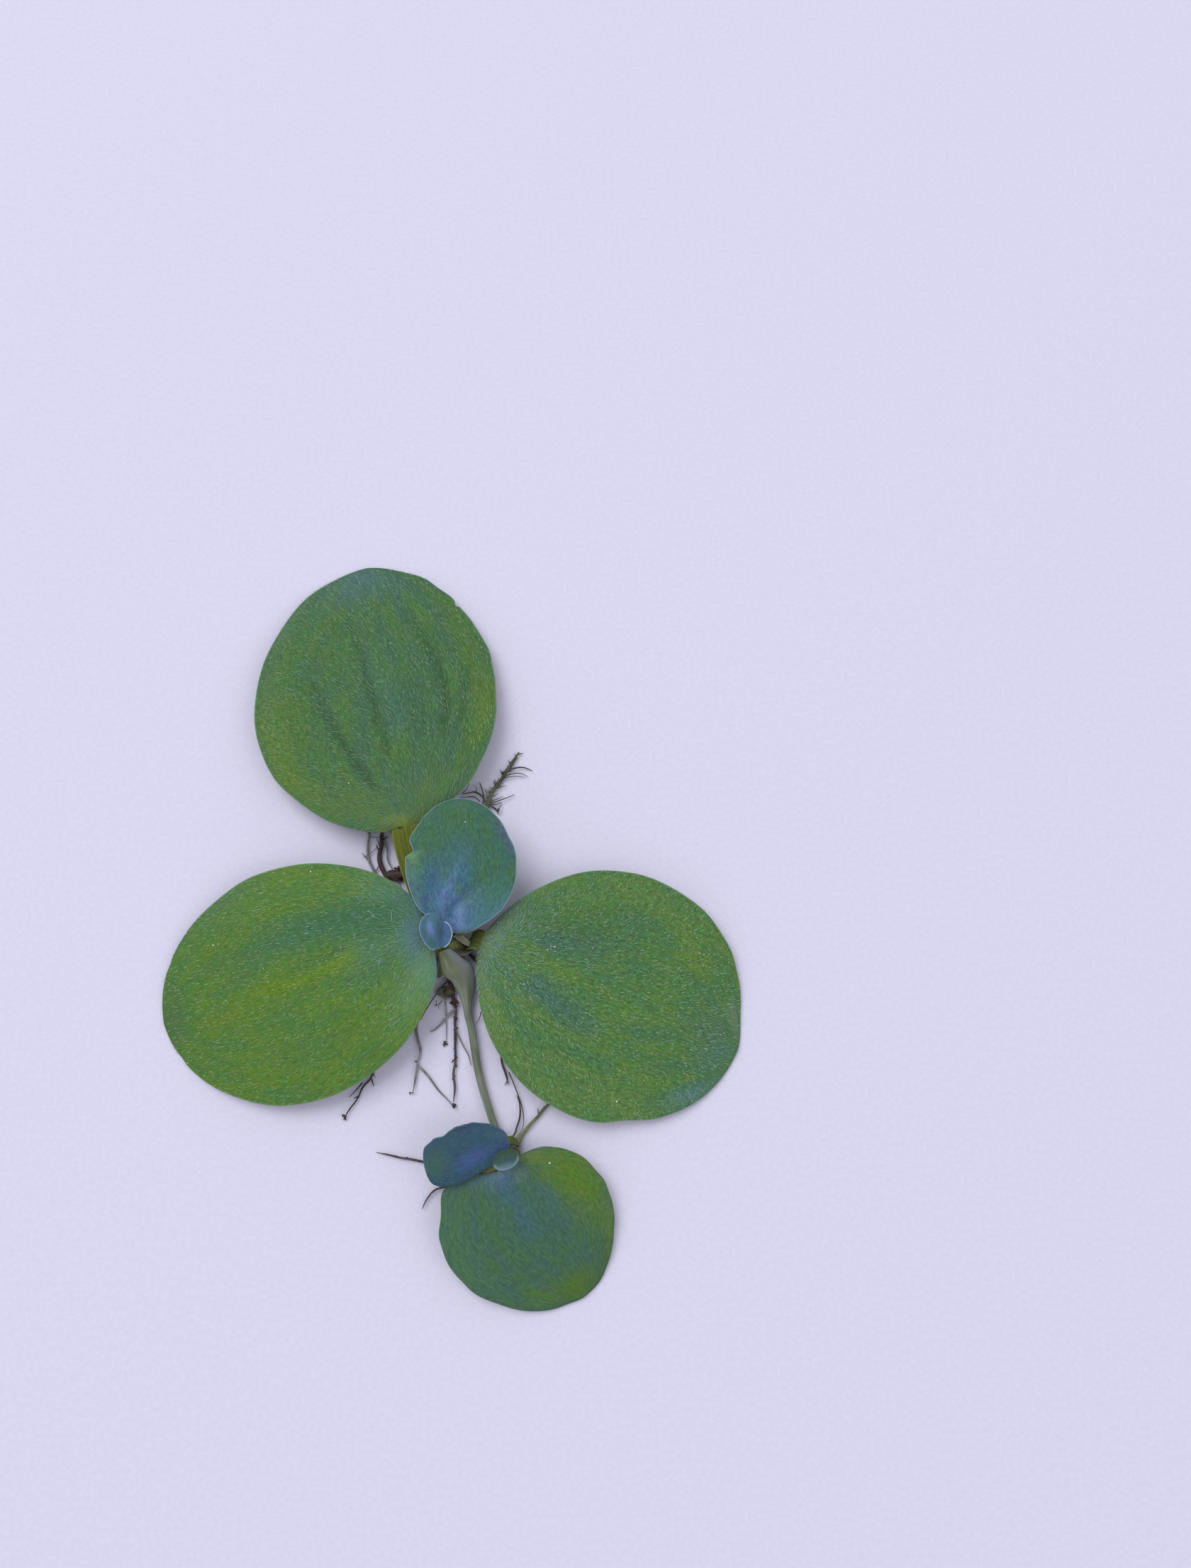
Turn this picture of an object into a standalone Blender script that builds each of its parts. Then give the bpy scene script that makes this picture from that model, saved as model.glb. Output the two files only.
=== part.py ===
"""A young water lettuce with one daughter plantlet, laid on a flat surface as picked.

The mother rosette has three grown leaves, one small inner leaf and a bud of two cupped leaflets
on a short crown. A stolon leads from the crown to the daughter's crown, which carries one round
leaf, one small leaf and a rolled leaflet. Roots fan out from both crowns along the surface.

The origin is the middle of the mother crown's flat underside, +Z is up, and +Y points from the
daughter towards the mother. Lengths are in millimetres here and become metres in the meshes.
"""

import math

import bmesh
import bpy
from mathutils import Vector

MM = 0.001

# Crowns: turned profiles, as (radius, height) from the top of the axis down the outer side.
CROWN_PROFILE = (
    (0.0, 3.7), (0.28, 3.5), (0.42, 2.7), (1.0, 2.1), (1.55, 1.5), (1.7, 0.7), (1.3, 0.0), (0.0, 0.0))
DAUGHTER_CROWN_AT = (5.9, -18.6)
DAUGHTER_CROWN_PROFILE = (
    (0.0, 2.8), (0.25, 2.6), (0.4, 1.7), (0.8, 1.0), (0.85, 0.5), (0.65, 0.0), (0.0, 0.0))
CROWN_STEPS = 20

ROUNDING = 0.6          # below 1 makes a leaf's margin blunt, as a spongy leaf's is
MARGIN = 0.4            # thickness of a leaf's edge
FIRST_RING = -0.97      # where a stalk's first ring is, just past its root (-1 to 0 along it)

# Leaves. Each one starts at `root`, beside or on its crown, runs along a stalk to the blade's
# `base`, and ends at the tip, `length` further along `azimuth` (degrees from +X).
# `widths` are the half-widths left and right of the midrib, `stalk` is the stalk's, `skew` moves
# the widest place (above 0 to the tip), `pinch` above 1 narrows the base and the tip, `bend` bows
# the midrib to the left, and `lobes` are how far the blade's left and right shoulders reach back
# beyond its base. `heights` are those of the upper face at root, base and tip, `arch` lifts the
# blade's middle, `droop` lowers its margins, `wave` lets them rise and fall, `belly` thickens the
# spongy underside, `cup` rolls the blade upwards (degrees, 0 for a flat one) and `bite` is the
# depth of a nibble in the left margin. `swell` moves the margin out (below 0 in) at some angles,
# which are degrees to the left of the blade's direction seen from its middle. `rings` divide the
# stalk and the blade, `sides` go around.
SWELL_STEP = 15         # degrees between the places where `swell` is given; it is 0 where it isn't
BITE_REACH = 0.63       # where the nibble is, as a share of the blade's length
BITE_SPREAD = 0.05      # how far the nibble runs along the margin, as the same share
LEAVES = {
    "leaf_left": dict(
        root=(-1.9, 0.45), base=(-1.9, 0.45), azimuth=197.9, length=25.0, widths=(10.7, 10.8), stalk=0.9,
        skew=0.0, pinch=(1.4, 1.05), bend=0.3, lobes=(1.95, 1.95), heights=(3.6, 3.6, 0.35),
        arch=0.9, droop=0.5, wave=0.15, belly=1.6, cup=0, bite=0.0, rings=(1, 24), sides=26),
    "leaf_right": dict(
        root=(2.05, 0.1), base=(3.35, 0.1), azimuth=-22.5, length=25.7, widths=(11.5, 11.3), stalk=1.0,
        skew=0.02, pinch=(1.25, 1.05), bend=0.1, lobes=(0.0, 0.0), heights=(2.0, 3.2, 0.35),
        arch=1.2, droop=0.5, wave=0.2, belly=0.8, cup=0, bite=0.0, rings=(2, 23), sides=26,
        swell={15: -0.3, 30: -0.15, 45: 0.1, 60: 0.1, 300: -0.3, 315: -0.1}),
    "leaf_back": dict(
        root=(-0.75, 1.9), base=(-4.1, 10.85), azimuth=100.5, length=27.7, widths=(11.5, 11.6), stalk=0.8,
        skew=-0.14, pinch=(1.4, 0.85), bend=1.1, lobes=(1.3, 0.0), heights=(1.9, 3.0, 0.35),
        arch=1.0, droop=0.4, wave=0.2, belly=0.7, cup=0, bite=0.0, rings=(4, 23), sides=26,
        swell={15: -0.15, 135: -0.1, 225: -0.27, 240: -0.19, 270: 0.45, 285: 0.95, 300: 0.95, 315: 0.6,
               330: 0.1, 345: -0.25}),
    "leaf_inner": dict(
        root=(0.95, 0.6), base=(1.6, 0.6), azimuth=92.9, length=12.5, widths=(5.05, 5.1), stalk=0.45,
        skew=0.0, pinch=(1.3, 1.0), bend=0.0, lobes=(0.0, 0.0), heights=(2.8, 4.5, 5.1),
        arch=0.6, droop=0.3, wave=0.1, belly=0.2, cup=0, bite=0.6, rings=(3, 20), sides=18,
        swell={15: -0.05, 30: -0.12, 45: -0.15, 60: -0.05, 90: -0.13, 105: -0.12, 120: -0.1, 210: 0.1,
               225: 0.25, 240: 0.28, 255: 0.25, 270: 0.15, 285: 0.1}),
    "bud_leaf_outer": dict(
        root=(-0.25, -0.5), base=(-0.45, -0.75), azimuth=104.0, length=3.15, widths=(1.0, 1.1), stalk=0.3,
        skew=0.05, pinch=(1.0, 1.0), bend=0.25, lobes=(0.3, 0.0), heights=(4.35, 4.6, 5.9),
        arch=0.1, droop=0.0, wave=0.0, belly=0.1, cup=110, bite=0.0, rings=(2, 12), sides=14),
    "bud_leaf_inner": dict(
        root=(-0.05, -0.75), base=(-0.05, -0.75), azimuth=84.0, length=2.2, widths=(0.55, 0.65), stalk=0.25,
        skew=0.0, pinch=(0.9, 0.9), bend=-0.2, lobes=(0.0, 0.0), heights=(5.5, 5.5, 6.5),
        arch=0.15, droop=0.0, wave=0.0, belly=0.1, cup=150, bite=0.0, rings=(1, 10), sides=12),
    "daughter_leaf_large": dict(
        root=(5.65, -19.75), base=(5.3, -20.0), azimuth=-55.5, length=13.0, widths=(7.1, 7.7), stalk=0.45,
        skew=-0.21, pinch=(0.93, 0.93), bend=0.0, lobes=(0.4, 2.5), heights=(2.1, 2.5, 0.35),
        arch=0.5, droop=0.2, wave=0.1, belly=0.4, cup=0, bite=0.0, rings=(2, 19), sides=20,
        swell={0: 0.25, 15: 0.28, 30: 0.15, 45: 0.12, 60: 0.05, 90: -0.1, 105: -0.3, 120: -0.33,
               135: -0.22, 150: -0.1, 210: -0.2, 225: -0.2, 240: 0.12, 255: 0.2, 270: 0.1, 285: 0.1,
               300: 0.08, 315: 0.12, 330: 0.1, 345: 0.05}),
    "daughter_leaf_small": dict(
        root=(6.95, -17.85), base=(6.1, -17.49), azimuth=200.7, length=7.7, widths=(1.9, 2.8), stalk=0.35,
        skew=0.24, pinch=(0.77, 0.72), bend=-0.2, lobes=(0.0, 0.0), heights=(2.1, 3.25, 3.4),
        arch=0.2, droop=0.15, wave=0.0, belly=0.1, cup=0, bite=0.0, rings=(2, 15), sides=16,
        swell={255: -0.15, 270: -0.25, 285: -0.42, 300: -0.5, 315: -0.2}),
    "daughter_bud_leaf": dict(
        root=(6.3, -18.55), base=(6.9, -18.65), azimuth=202.0, length=2.3, widths=(0.8, 0.85), stalk=0.3,
        skew=0.0, pinch=(0.9, 0.9), bend=0.0, lobes=(0.0, 0.0), heights=(3.5, 3.8, 4.3),
        arch=0.2, droop=0.0, wave=0.0, belly=0.1, cup=130, bite=0.0, rings=(2, 10), sides=12),
}

# The stolon: (x, y, z, radius) along its middle, broad at the mother crown.
STOLON = (
    (0.9, -1.85, 1.3, 0.6), (1.6, -2.8, 1.15, 0.95), (2.1, -3.9, 0.95, 0.8), (2.3, -5.3, 0.75, 0.6),
    (2.5, -7.8, 0.6, 0.45), (3.05, -11.0, 0.5, 0.4), (3.6, -13.2, 0.5, 0.38), (4.5, -15.7, 0.6, 0.36),
    (5.1, -17.3, 0.8, 0.34))

# Roots: (x, y, z) along the middle of each one, from its crown to its tip.
ROOT_RADIUS = 0.25
ROOT_TIP = 0.5          # radius of the tip, as a share of the root's
ROOTS = {
    "root_front_long": (
        (-0.1, -2.1, 0.9), (0.1, -3.2, 0.55), (0.75, -5.2, 0.35), (1.15, -8.4, 0.3), (1.35, -14.1, 0.3)),
    "root_front_mid": (
        (-1.0, -1.8, 0.8), (-1.9, -4.4, 0.4), (-2.4, -7.7, 0.3), (-1.95, -9.6, 0.3), (-2.6, -13.4, 0.3)),
    "root_front_left": (
        (-1.8, -1.1, 0.8), (-3.9, -4.8, 0.4), (-5.3, -9.0, 0.3), (-6.3, -12.0, 0.3), (-8.8, -15.8, 0.3)),
    "root_front_right": (
        (2.0, -0.75, 0.8), (4.2, -3.0, 0.4), (5.0, -6.8, 0.3), (5.4, -10.8, 0.3), (5.9, -12.8, 0.3)),
    "root_back_left": (
        (-1.95, 0.7, 0.8), (-4.4, 3.6, 0.4), (-6.6, 6.6, 0.3), (-7.2, 9.7, 0.3), (-7.1, 14.0, 0.3)),
    "root_back_mid": (
        (-1.5, 1.5, 0.8), (-3.4, 4.0, 0.4), (-5.3, 6.5, 0.3), (-5.9, 10.1, 0.3), (-5.3, 15.5, 0.3)),
    "root_back_right": (
        (-0.1, 2.1, 0.7), (-1.5, 6.0, 0.35), (-2.6, 10.0, 0.3), (-2.2, 14.5, 0.3)),
    "root_feathery": (
        (1.0, 1.85, 0.8), (2.2, 6.5, 0.4), (3.5, 12.9, 0.3), (5.2, 16.2, 0.3), (7.0, 18.8, 0.3)),
    "daughter_root_right": (
        (6.95, -18.2, 0.6), (7.6, -16.9, 0.35), (9.5, -14.6, 0.3), (11.8, -12.6, 0.3)),
    "daughter_root_back": (
        (6.2, -17.5, 0.7), (6.7, -16.5, 0.35), (6.75, -14.6, 0.3), (6.5, -13.6, 0.3)),
    "daughter_root_left": (
        (4.8, -18.9, 0.6), (1.6, -19.6, 0.35), (-1.8, -19.2, 0.3), (-5.8, -18.4, 0.3)),
    "daughter_root_front": (
        (5.1, -19.4, 0.6), (2.6, -20.9, 0.35), (-0.6, -21.9, 0.3), (-1.7, -23.4, 0.3)),
}

# Colours (linear RGB) and roughness of each finish.
LEAF_GREEN = ((0.085, 0.19, 0.055), 0.75)
YOUNG_TEAL = ((0.07, 0.16, 0.15), 0.75)
CROWN_OLIVE = ((0.16, 0.17, 0.07), 0.7)
STOLON_OLIVE = ((0.20, 0.22, 0.11), 0.55)
ROOT_BROWN = ((0.16, 0.11, 0.06), 0.8)
FINISHES = {
    "leaf_inner": YOUNG_TEAL, "bud_leaf_outer": YOUNG_TEAL, "bud_leaf_inner": YOUNG_TEAL,
    "daughter_leaf_small": YOUNG_TEAL, "daughter_bud_leaf": YOUNG_TEAL,
    "crown": CROWN_OLIVE, "daughter_crown": CROWN_OLIVE, "stolon": STOLON_OLIVE,
}


def clear_scene():
    """Remove what a new file starts with."""
    for thing in list(bpy.data.objects):
        bpy.data.objects.remove(thing)


def make_collection(name):
    """Make a collection in the scene and return it."""
    collection = bpy.data.collections.new(name)
    bpy.context.scene.collection.children.link(collection)
    return collection


def make_material(name, finish):
    """Make a plain material from a colour and a roughness."""
    colour, roughness = finish
    material = bpy.data.materials.new(name)
    material.use_nodes = True
    shader = material.node_tree.nodes["Principled BSDF"]
    shader.inputs["Base Color"].default_value = (*colour, 1.0)
    shader.inputs["Roughness"].default_value = roughness
    shader.inputs["Metallic"].default_value = 0.0
    return material


def add_part(name, data, collection, finish):
    """Put mesh or curve data in the collection as one named part with its own material."""
    part = bpy.data.objects.new(name, data)
    collection.objects.link(part)
    data.materials.append(make_material(name, finish))
    return part


def leaf_plan(leaf):
    """Return the direction of the blade and, to its left, the direction across it."""
    angle = math.radians(leaf["azimuth"])
    along = Vector((math.cos(angle), math.sin(angle), 0.0))
    across = Vector((-math.sin(angle), math.cos(angle), 0.0))
    return along, across


def stalk_middle(leaf, share):
    """Return a point of the stalk's upper face, from the root (0) to the blade's base (1)."""
    along, _ = leaf_plan(leaf)
    root = Vector((*leaf["root"], leaf["heights"][0]))
    base = Vector((*leaf["base"], leaf["heights"][1]))
    guide = base - along * (base - root).length / 2
    return root * (1 - share) ** 2 + guide * 2 * share * (1 - share) + base * share ** 2


def blade_middle(leaf, reach):
    """Return a point of the midrib's upper face, from the blade's base (0) to its tip (1)."""
    along, across = leaf_plan(leaf)
    _, base_height, tip_height = leaf["heights"]
    hump = 4 * reach * (1 - reach)
    height = base_height + (tip_height - base_height) * reach + leaf["arch"] * hump
    point = Vector((*leaf["base"], height))
    return point + along * leaf["length"] * reach + across * leaf["bend"] * hump


def leaf_skin(leaf, turn, across_share, face):
    """Return a point of the leaf's skin.

    turn runs from -1 at the root over 0 at the blade's base to 1 at the tip, across_share from
    -1 at the right margin to 1 at the left one, and face is 1 above and -1 below.
    """
    along, across = leaf_plan(leaf)
    blade_turn = max(turn, 0.0)
    reach = (1 - math.cos(math.pi * blade_turn)) / 2
    near_base = (1 - reach) ** 2
    pinch = leaf["pinch"][0] + (leaf["pinch"][1] - leaf["pinch"][0]) * reach
    outline = math.sin(math.pi * blade_turn) ** pinch * (1 - leaf["skew"] * math.cos(math.pi * blade_turn))
    hand = 0 if across_share > 0 else 1
    width = leaf["widths"][hand] * outline
    if hand == 0:
        width -= leaf["bite"] * math.exp(-((reach - BITE_REACH) / BITE_SPREAD) ** 2)
    half_width = math.hypot(width, leaf["stalk"] * near_base)
    middle = blade_middle(leaf, reach) if turn > 0 else stalk_middle(leaf, turn + 1)
    shoulder = leaf["lobes"][hand] * near_base * math.sin(math.pi * min(2 * blade_turn, 1))
    backwards = shoulder * abs(across_share) ** 1.5
    sideways, lift = across_share * half_width, 0.0
    if leaf["cup"]:
        spread = math.radians(leaf["cup"]) / 2
        sideways = half_width * math.sin(across_share * spread) / math.sin(min(spread, math.pi / 2))
        lift = half_width * (1 - math.cos(across_share * spread)) / spread
    ripple = math.sin(3 * math.pi * blade_turn + math.copysign(1, across_share))
    edge = across_share ** 2 * outline * (leaf["wave"] * ripple - leaf["droop"])
    depth = math.sqrt(max(0.0, 1 - across_share ** 2)) ** ROUNDING
    if face > 0:
        rise = MARGIN / 2 * (depth - 1)
    else:
        rise = -MARGIN / 2 * (depth + 1) - leaf["belly"] * (1 - across_share ** 2) * near_base * depth
    point = middle + across * sideways - along * backwards
    point += margin_swell(leaf, point, reach)
    point.z = max(0.0, point.z + lift + edge + rise)
    return point


def margin_swell(leaf, point, reach):
    """Return how far the blade's swelling moves one of its points outwards from its middle."""
    along, across = leaf_plan(leaf)
    middle = Vector((*leaf["base"], 0.0)) + along * leaf["length"] / 2
    forward, left = (point - middle).dot(along), (point - middle).dot(across)
    away = math.hypot(forward, left)
    place = math.degrees(math.atan2(left, forward)) % 360 / SWELL_STEP
    share = (1 - math.cos(math.pi * (place % 1))) / 2
    swell = leaf.get("swell", {})
    here = swell.get(int(place) * SWELL_STEP, 0.0)
    there = swell.get((int(place) + 1) * SWELL_STEP % 360, 0.0)
    radius = (leaf["length"] + sum(leaf["widths"])) / 4
    moved = (here + (there - here) * share) * (away / radius) ** 2 * min(1.0, 10 * reach)
    return (along * forward + across * left) * moved / max(away, 0.001)


def add_leaf(name, leaf, collection):
    """Shape a sphere, its poles at the leaf's root and tip, into a stalk and a blade."""
    stalk_rings, blade_rings = leaf["rings"]
    ring_count = stalk_rings + blade_rings
    shape = bmesh.new()
    bmesh.ops.create_uvsphere(shape, u_segments=leaf["sides"], v_segments=ring_count, radius=1.0)
    for vertex in shape.verts:
        ring = round(math.acos(max(-1.0, min(1.0, -vertex.co.z))) / math.pi * ring_count)
        around = math.hypot(vertex.co.x, vertex.co.y)
        if ring in (0, ring_count):
            turn = -1.0 if ring == 0 else 1.0
            vertex.co = (leaf_skin(leaf, turn, 0.0, 1) + leaf_skin(leaf, turn, 0.0, -1)) / 2 * MM
        else:
            turn = (ring - stalk_rings) / (stalk_rings if ring <= stalk_rings else blade_rings)
            turn = FIRST_RING if ring == 1 and stalk_rings > 1 else turn
            face = 1 if vertex.co.y >= 0 else -1
            vertex.co = leaf_skin(leaf, turn, vertex.co.x / around, face) * MM
    bmesh.ops.triangulate(shape, faces=shape.faces)
    bmesh.ops.recalc_face_normals(shape, faces=shape.faces)
    mesh = bpy.data.meshes.new(name)
    shape.to_mesh(mesh)
    shape.free()
    mesh.shade_smooth()
    return add_part(name, mesh, collection, FINISHES.get(name, LEAF_GREEN))


def add_crown(name, profile, place, collection):
    """Turn a crown's profile about its own upright axis."""
    mesh = bpy.data.meshes.new(name)
    points = [(radius * MM, 0.0, height * MM) for radius, height in profile]
    mesh.from_pydata(points, [(i, i + 1) for i in range(len(points) - 1)], [])
    crown = add_part(name, mesh, collection, FINISHES[name])
    crown.location = (place[0] * MM, place[1] * MM, 0.0)
    turn = crown.modifiers.new("turn", "SCREW")
    turn.steps = CROWN_STEPS
    turn.render_steps = CROWN_STEPS
    turn.use_merge_vertices = True
    turn.merge_threshold = 0.00001
    return crown


def add_strand(name, points, collection, finish):
    """Make a round strand through (x, y, z, radius) points, closed at both ends."""
    curve = bpy.data.curves.new(name, "CURVE")
    curve.dimensions = "3D"
    thickest = max(radius for *_, radius in points)
    curve.bevel_depth = thickest * MM
    curve.bevel_resolution = 1
    curve.resolution_u = 3
    curve.use_fill_caps = True
    spline = curve.splines.new("BEZIER")
    spline.bezier_points.add(len(points) - 1)
    for knot, (x, y, z, radius) in zip(spline.bezier_points, points):
        knot.co = (x * MM, y * MM, z * MM)
        knot.handle_left_type = "AUTO"
        knot.handle_right_type = "AUTO"
        knot.radius = radius / thickest
    return add_part(name, curve, collection, finish)


def add_root(name, route, collection):
    """Make one root, which thins evenly to its tip."""
    last = len(route) - 1
    thinning = [1 - (1 - ROOT_TIP) * i / last for i in range(last + 1)]
    points = [(*place, ROOT_RADIUS * share) for place, share in zip(route, thinning)]
    return add_strand(name, points, collection, ROOT_BROWN)


def build():
    """Build every part of the plant."""
    clear_scene()
    plant = make_collection("water_lettuce")
    add_crown("crown", CROWN_PROFILE, (0.0, 0.0), plant)
    add_crown("daughter_crown", DAUGHTER_CROWN_PROFILE, DAUGHTER_CROWN_AT, plant)
    for name, leaf in LEAVES.items():
        add_leaf(name, leaf, plant)
    add_strand("stolon", STOLON, plant, STOLON_OLIVE)
    for name, route in ROOTS.items():
        add_root(name, route, plant)


build()
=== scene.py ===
"""The looks of a young water lettuce with one daughter plantlet, laid on a pale surface as picked.

Every piece is shaped in millimetres in the frame of the solids (+Z up, origin under the mother
crown) and becomes metres in its mesh. A leaf is a sphere whose poles sit at the leaf's root and tip,
reshaped by one formula; the same formula says where its folds run and where its down grows.
"""

import math

import bmesh
import bpy
import numpy as np
from mathutils import Matrix, Vector


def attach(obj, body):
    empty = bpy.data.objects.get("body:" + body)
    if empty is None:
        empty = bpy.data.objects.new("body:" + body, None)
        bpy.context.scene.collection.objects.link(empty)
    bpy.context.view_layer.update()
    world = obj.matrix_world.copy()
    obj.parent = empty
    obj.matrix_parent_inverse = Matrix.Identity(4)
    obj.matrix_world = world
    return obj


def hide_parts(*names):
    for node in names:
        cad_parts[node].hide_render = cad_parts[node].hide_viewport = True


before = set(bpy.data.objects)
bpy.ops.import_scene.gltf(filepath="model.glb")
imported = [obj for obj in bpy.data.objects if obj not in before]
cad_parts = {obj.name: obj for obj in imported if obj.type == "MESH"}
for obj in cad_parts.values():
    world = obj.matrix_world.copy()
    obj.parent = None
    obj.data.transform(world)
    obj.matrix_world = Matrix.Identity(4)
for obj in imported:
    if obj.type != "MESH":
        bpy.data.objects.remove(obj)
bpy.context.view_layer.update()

MM = 0.001
PER_MM = 1000.0         # a noise's scale for lumps one millimetre apart
BODY = "root"
UP = np.array((0.0, 0.0, 1.0))

# ---- leaves: shapes, in millimetres

ROUNDING = 0.6          # below 1 makes a leaf's margin blunt, as a spongy leaf's is
MARGIN = 0.4            # thickness of a leaf's edge
STALK_RINGS = 3         # rings to a millimetre of stalk
FIRST_RING = -0.97      # where a stalk's first ring is, just past its root (-1 to 0 along it)
RAGGED = 0.03           # how far a margin wavers in and out
SWELL_STEP = 15         # degrees between the places where `swell` is given; it is 0 where it isn't
FOLD_STEP = 0.2         # millimetres between the points of a fold's middle line
HAIR_EDGE = 0.985       # where the outermost hairs stand, from 0 on the midrib to 1 on the margin
WOOL_EDGE = 0.8         # the same for wool
WOOL_SPACING = 0.5      # millimetres between the places where wool may stand

# A leaf has its `root` on the crown, the `base` of its blade, the blade's `azimuth` (degrees),
# `length`, half-`widths` left and right of the midrib, and the stalk's half-width. `skew` moves the
# broadest part towards the tip, `pinch` says how pointed base and tip are, `bend` bows the midrib to
# the left, and `lobes` is how far each shoulder reaches back. `heights` are those of root, base and
# tip, `arch` lifts the midrib between them, `droop` lowers the margins, `wave` ripples them, `belly`
# thickens the base from below, and `cup` rolls the blade up by so many degrees.
# `swell` moves the margin out at some angles from the blade's direction, seen from its middle.
# `nicks` are bites out of the margin: reach along the blade, hand (0 left, 1 right), depth, and how
# far they spread towards the base and towards the tip, as shares of the blade's length.
PLAIN_LEAF = dict(skew=0.0, bend=0.0, lobes=(0.0, 0.0), droop=0.0, wave=0.0, cup=0, swell={}, nicks=())
LEAVES = {
    "leaf_left": dict(
        PLAIN_LEAF, root=(-1.9, 0.45), base=(-1.9, 0.45), azimuth=197.9, length=25.0, widths=(10.7, 10.8),
        stalk=0.9, pinch=(1.4, 1.05), bend=0.3, lobes=(1.95, 1.95), heights=(3.6, 3.6, 0.35), arch=0.9,
        droop=0.5, wave=0.15, belly=1.6,
        nicks=((0.93, 1, 0.15, 0.012, 0.012), (0.97, 0, 0.2, 0.01, 0.01))),
    "leaf_right": dict(
        PLAIN_LEAF, root=(2.05, 0.1), base=(3.35, 0.1), azimuth=-22.5, length=25.7, widths=(11.5, 11.3),
        stalk=1.0, skew=0.02, pinch=(1.25, 1.05), bend=0.1, heights=(2.0, 3.2, 0.35), arch=1.2, droop=0.5,
        wave=0.2, belly=0.8,
        swell={15: -0.3, 30: -0.15, 45: 0.1, 60: 0.1, 300: -0.3, 315: -0.1}),
    "leaf_back": dict(
        PLAIN_LEAF, root=(-0.75, 1.9), base=(-4.1, 10.85), azimuth=100.5, length=27.7, widths=(11.5, 11.6),
        stalk=1.3, skew=-0.14, pinch=(1.4, 0.85), bend=1.1, lobes=(1.3, 0.0), heights=(1.9, 3.0, 0.35),
        arch=1.0, droop=0.4, wave=0.2, belly=0.7,
        swell={15: -0.15, 135: -0.1, 225: -0.27, 240: -0.19, 270: 0.45, 285: 0.95, 300: 0.95, 315: 0.6,
               330: 0.1, 345: -0.25},
        nicks=((0.78, 1, 0.25, 0.006, 0.012),)),
    "leaf_inner": dict(
        PLAIN_LEAF, root=(0.95, 0.6), base=(1.6, 0.6), azimuth=92.9, length=12.5, widths=(5.05, 5.1),
        stalk=0.45, pinch=(1.3, 1.0), heights=(2.8, 4.5, 5.1), arch=0.6, droop=0.3, wave=0.1, belly=0.2,
        swell={15: -0.05, 30: -0.12, 45: -0.15, 60: -0.05, 90: -0.13, 105: -0.12, 120: -0.1, 210: 0.1,
               225: 0.25, 240: 0.28, 255: 0.25, 270: 0.15, 285: 0.1},
        nicks=((0.612, 0, 0.68, 0.022, 0.065),)),
    "bud_leaf_outer": dict(
        PLAIN_LEAF, root=(-0.25, -0.5), base=(-0.45, -0.75), azimuth=104.0, length=3.15, widths=(1.0, 1.1),
        stalk=0.3, skew=0.05, pinch=(1.0, 1.0), bend=0.25, lobes=(0.3, 0.0), heights=(4.35, 4.6, 5.9),
        arch=0.1, belly=0.1, cup=110),
    "bud_leaf_inner": dict(
        PLAIN_LEAF, root=(-0.05, -0.75), base=(-0.05, -0.75), azimuth=84.0, length=2.2, widths=(0.55, 0.65),
        stalk=0.25, pinch=(0.9, 0.9), bend=-0.2, heights=(5.5, 5.5, 6.5), arch=0.15, belly=0.1, cup=150),
    "daughter_leaf_large": dict(
        PLAIN_LEAF, root=(5.65, -19.75), base=(5.3, -20.0), azimuth=-55.5, length=13.0, widths=(7.1, 7.7),
        stalk=0.45, skew=-0.21, pinch=(0.93, 0.93), lobes=(0.4, 3.0), heights=(2.1, 2.5, 0.35), arch=0.5,
        droop=0.2, wave=0.1, belly=0.4,
        swell={0: 0.25, 15: 0.28, 30: 0.15, 45: 0.12, 60: 0.05, 90: -0.1, 105: -0.3, 120: -0.33,
               135: -0.22, 150: -0.1, 180: 0.3, 195: 0.75, 210: 0.1, 225: -0.2, 240: 0.12, 255: 0.2,
               270: 0.1, 285: 0.1, 300: 0.08, 315: 0.12, 330: 0.1, 345: 0.05}),
    "daughter_leaf_small": dict(
        PLAIN_LEAF, root=(6.95, -17.85), base=(6.1, -17.49), azimuth=200.7, length=7.7, widths=(1.9, 2.8),
        stalk=0.35, skew=0.24, pinch=(0.77, 0.72), bend=-0.2, heights=(2.1, 3.25, 3.4), arch=0.2,
        droop=0.15, belly=0.1,
        swell={255: -0.15, 270: -0.25, 285: -0.42, 300: -0.5, 315: -0.2}),
    "daughter_bud_leaf": dict(
        PLAIN_LEAF, root=(6.3, -18.55), base=(6.9, -18.65), azimuth=202.0, length=2.3, widths=(0.8, 0.85),
        stalk=0.3, pinch=(0.9, 0.9), heights=(3.5, 3.8, 4.3), arch=0.2, belly=0.1, cup=130),
}

# ---- leaves: looks

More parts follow.
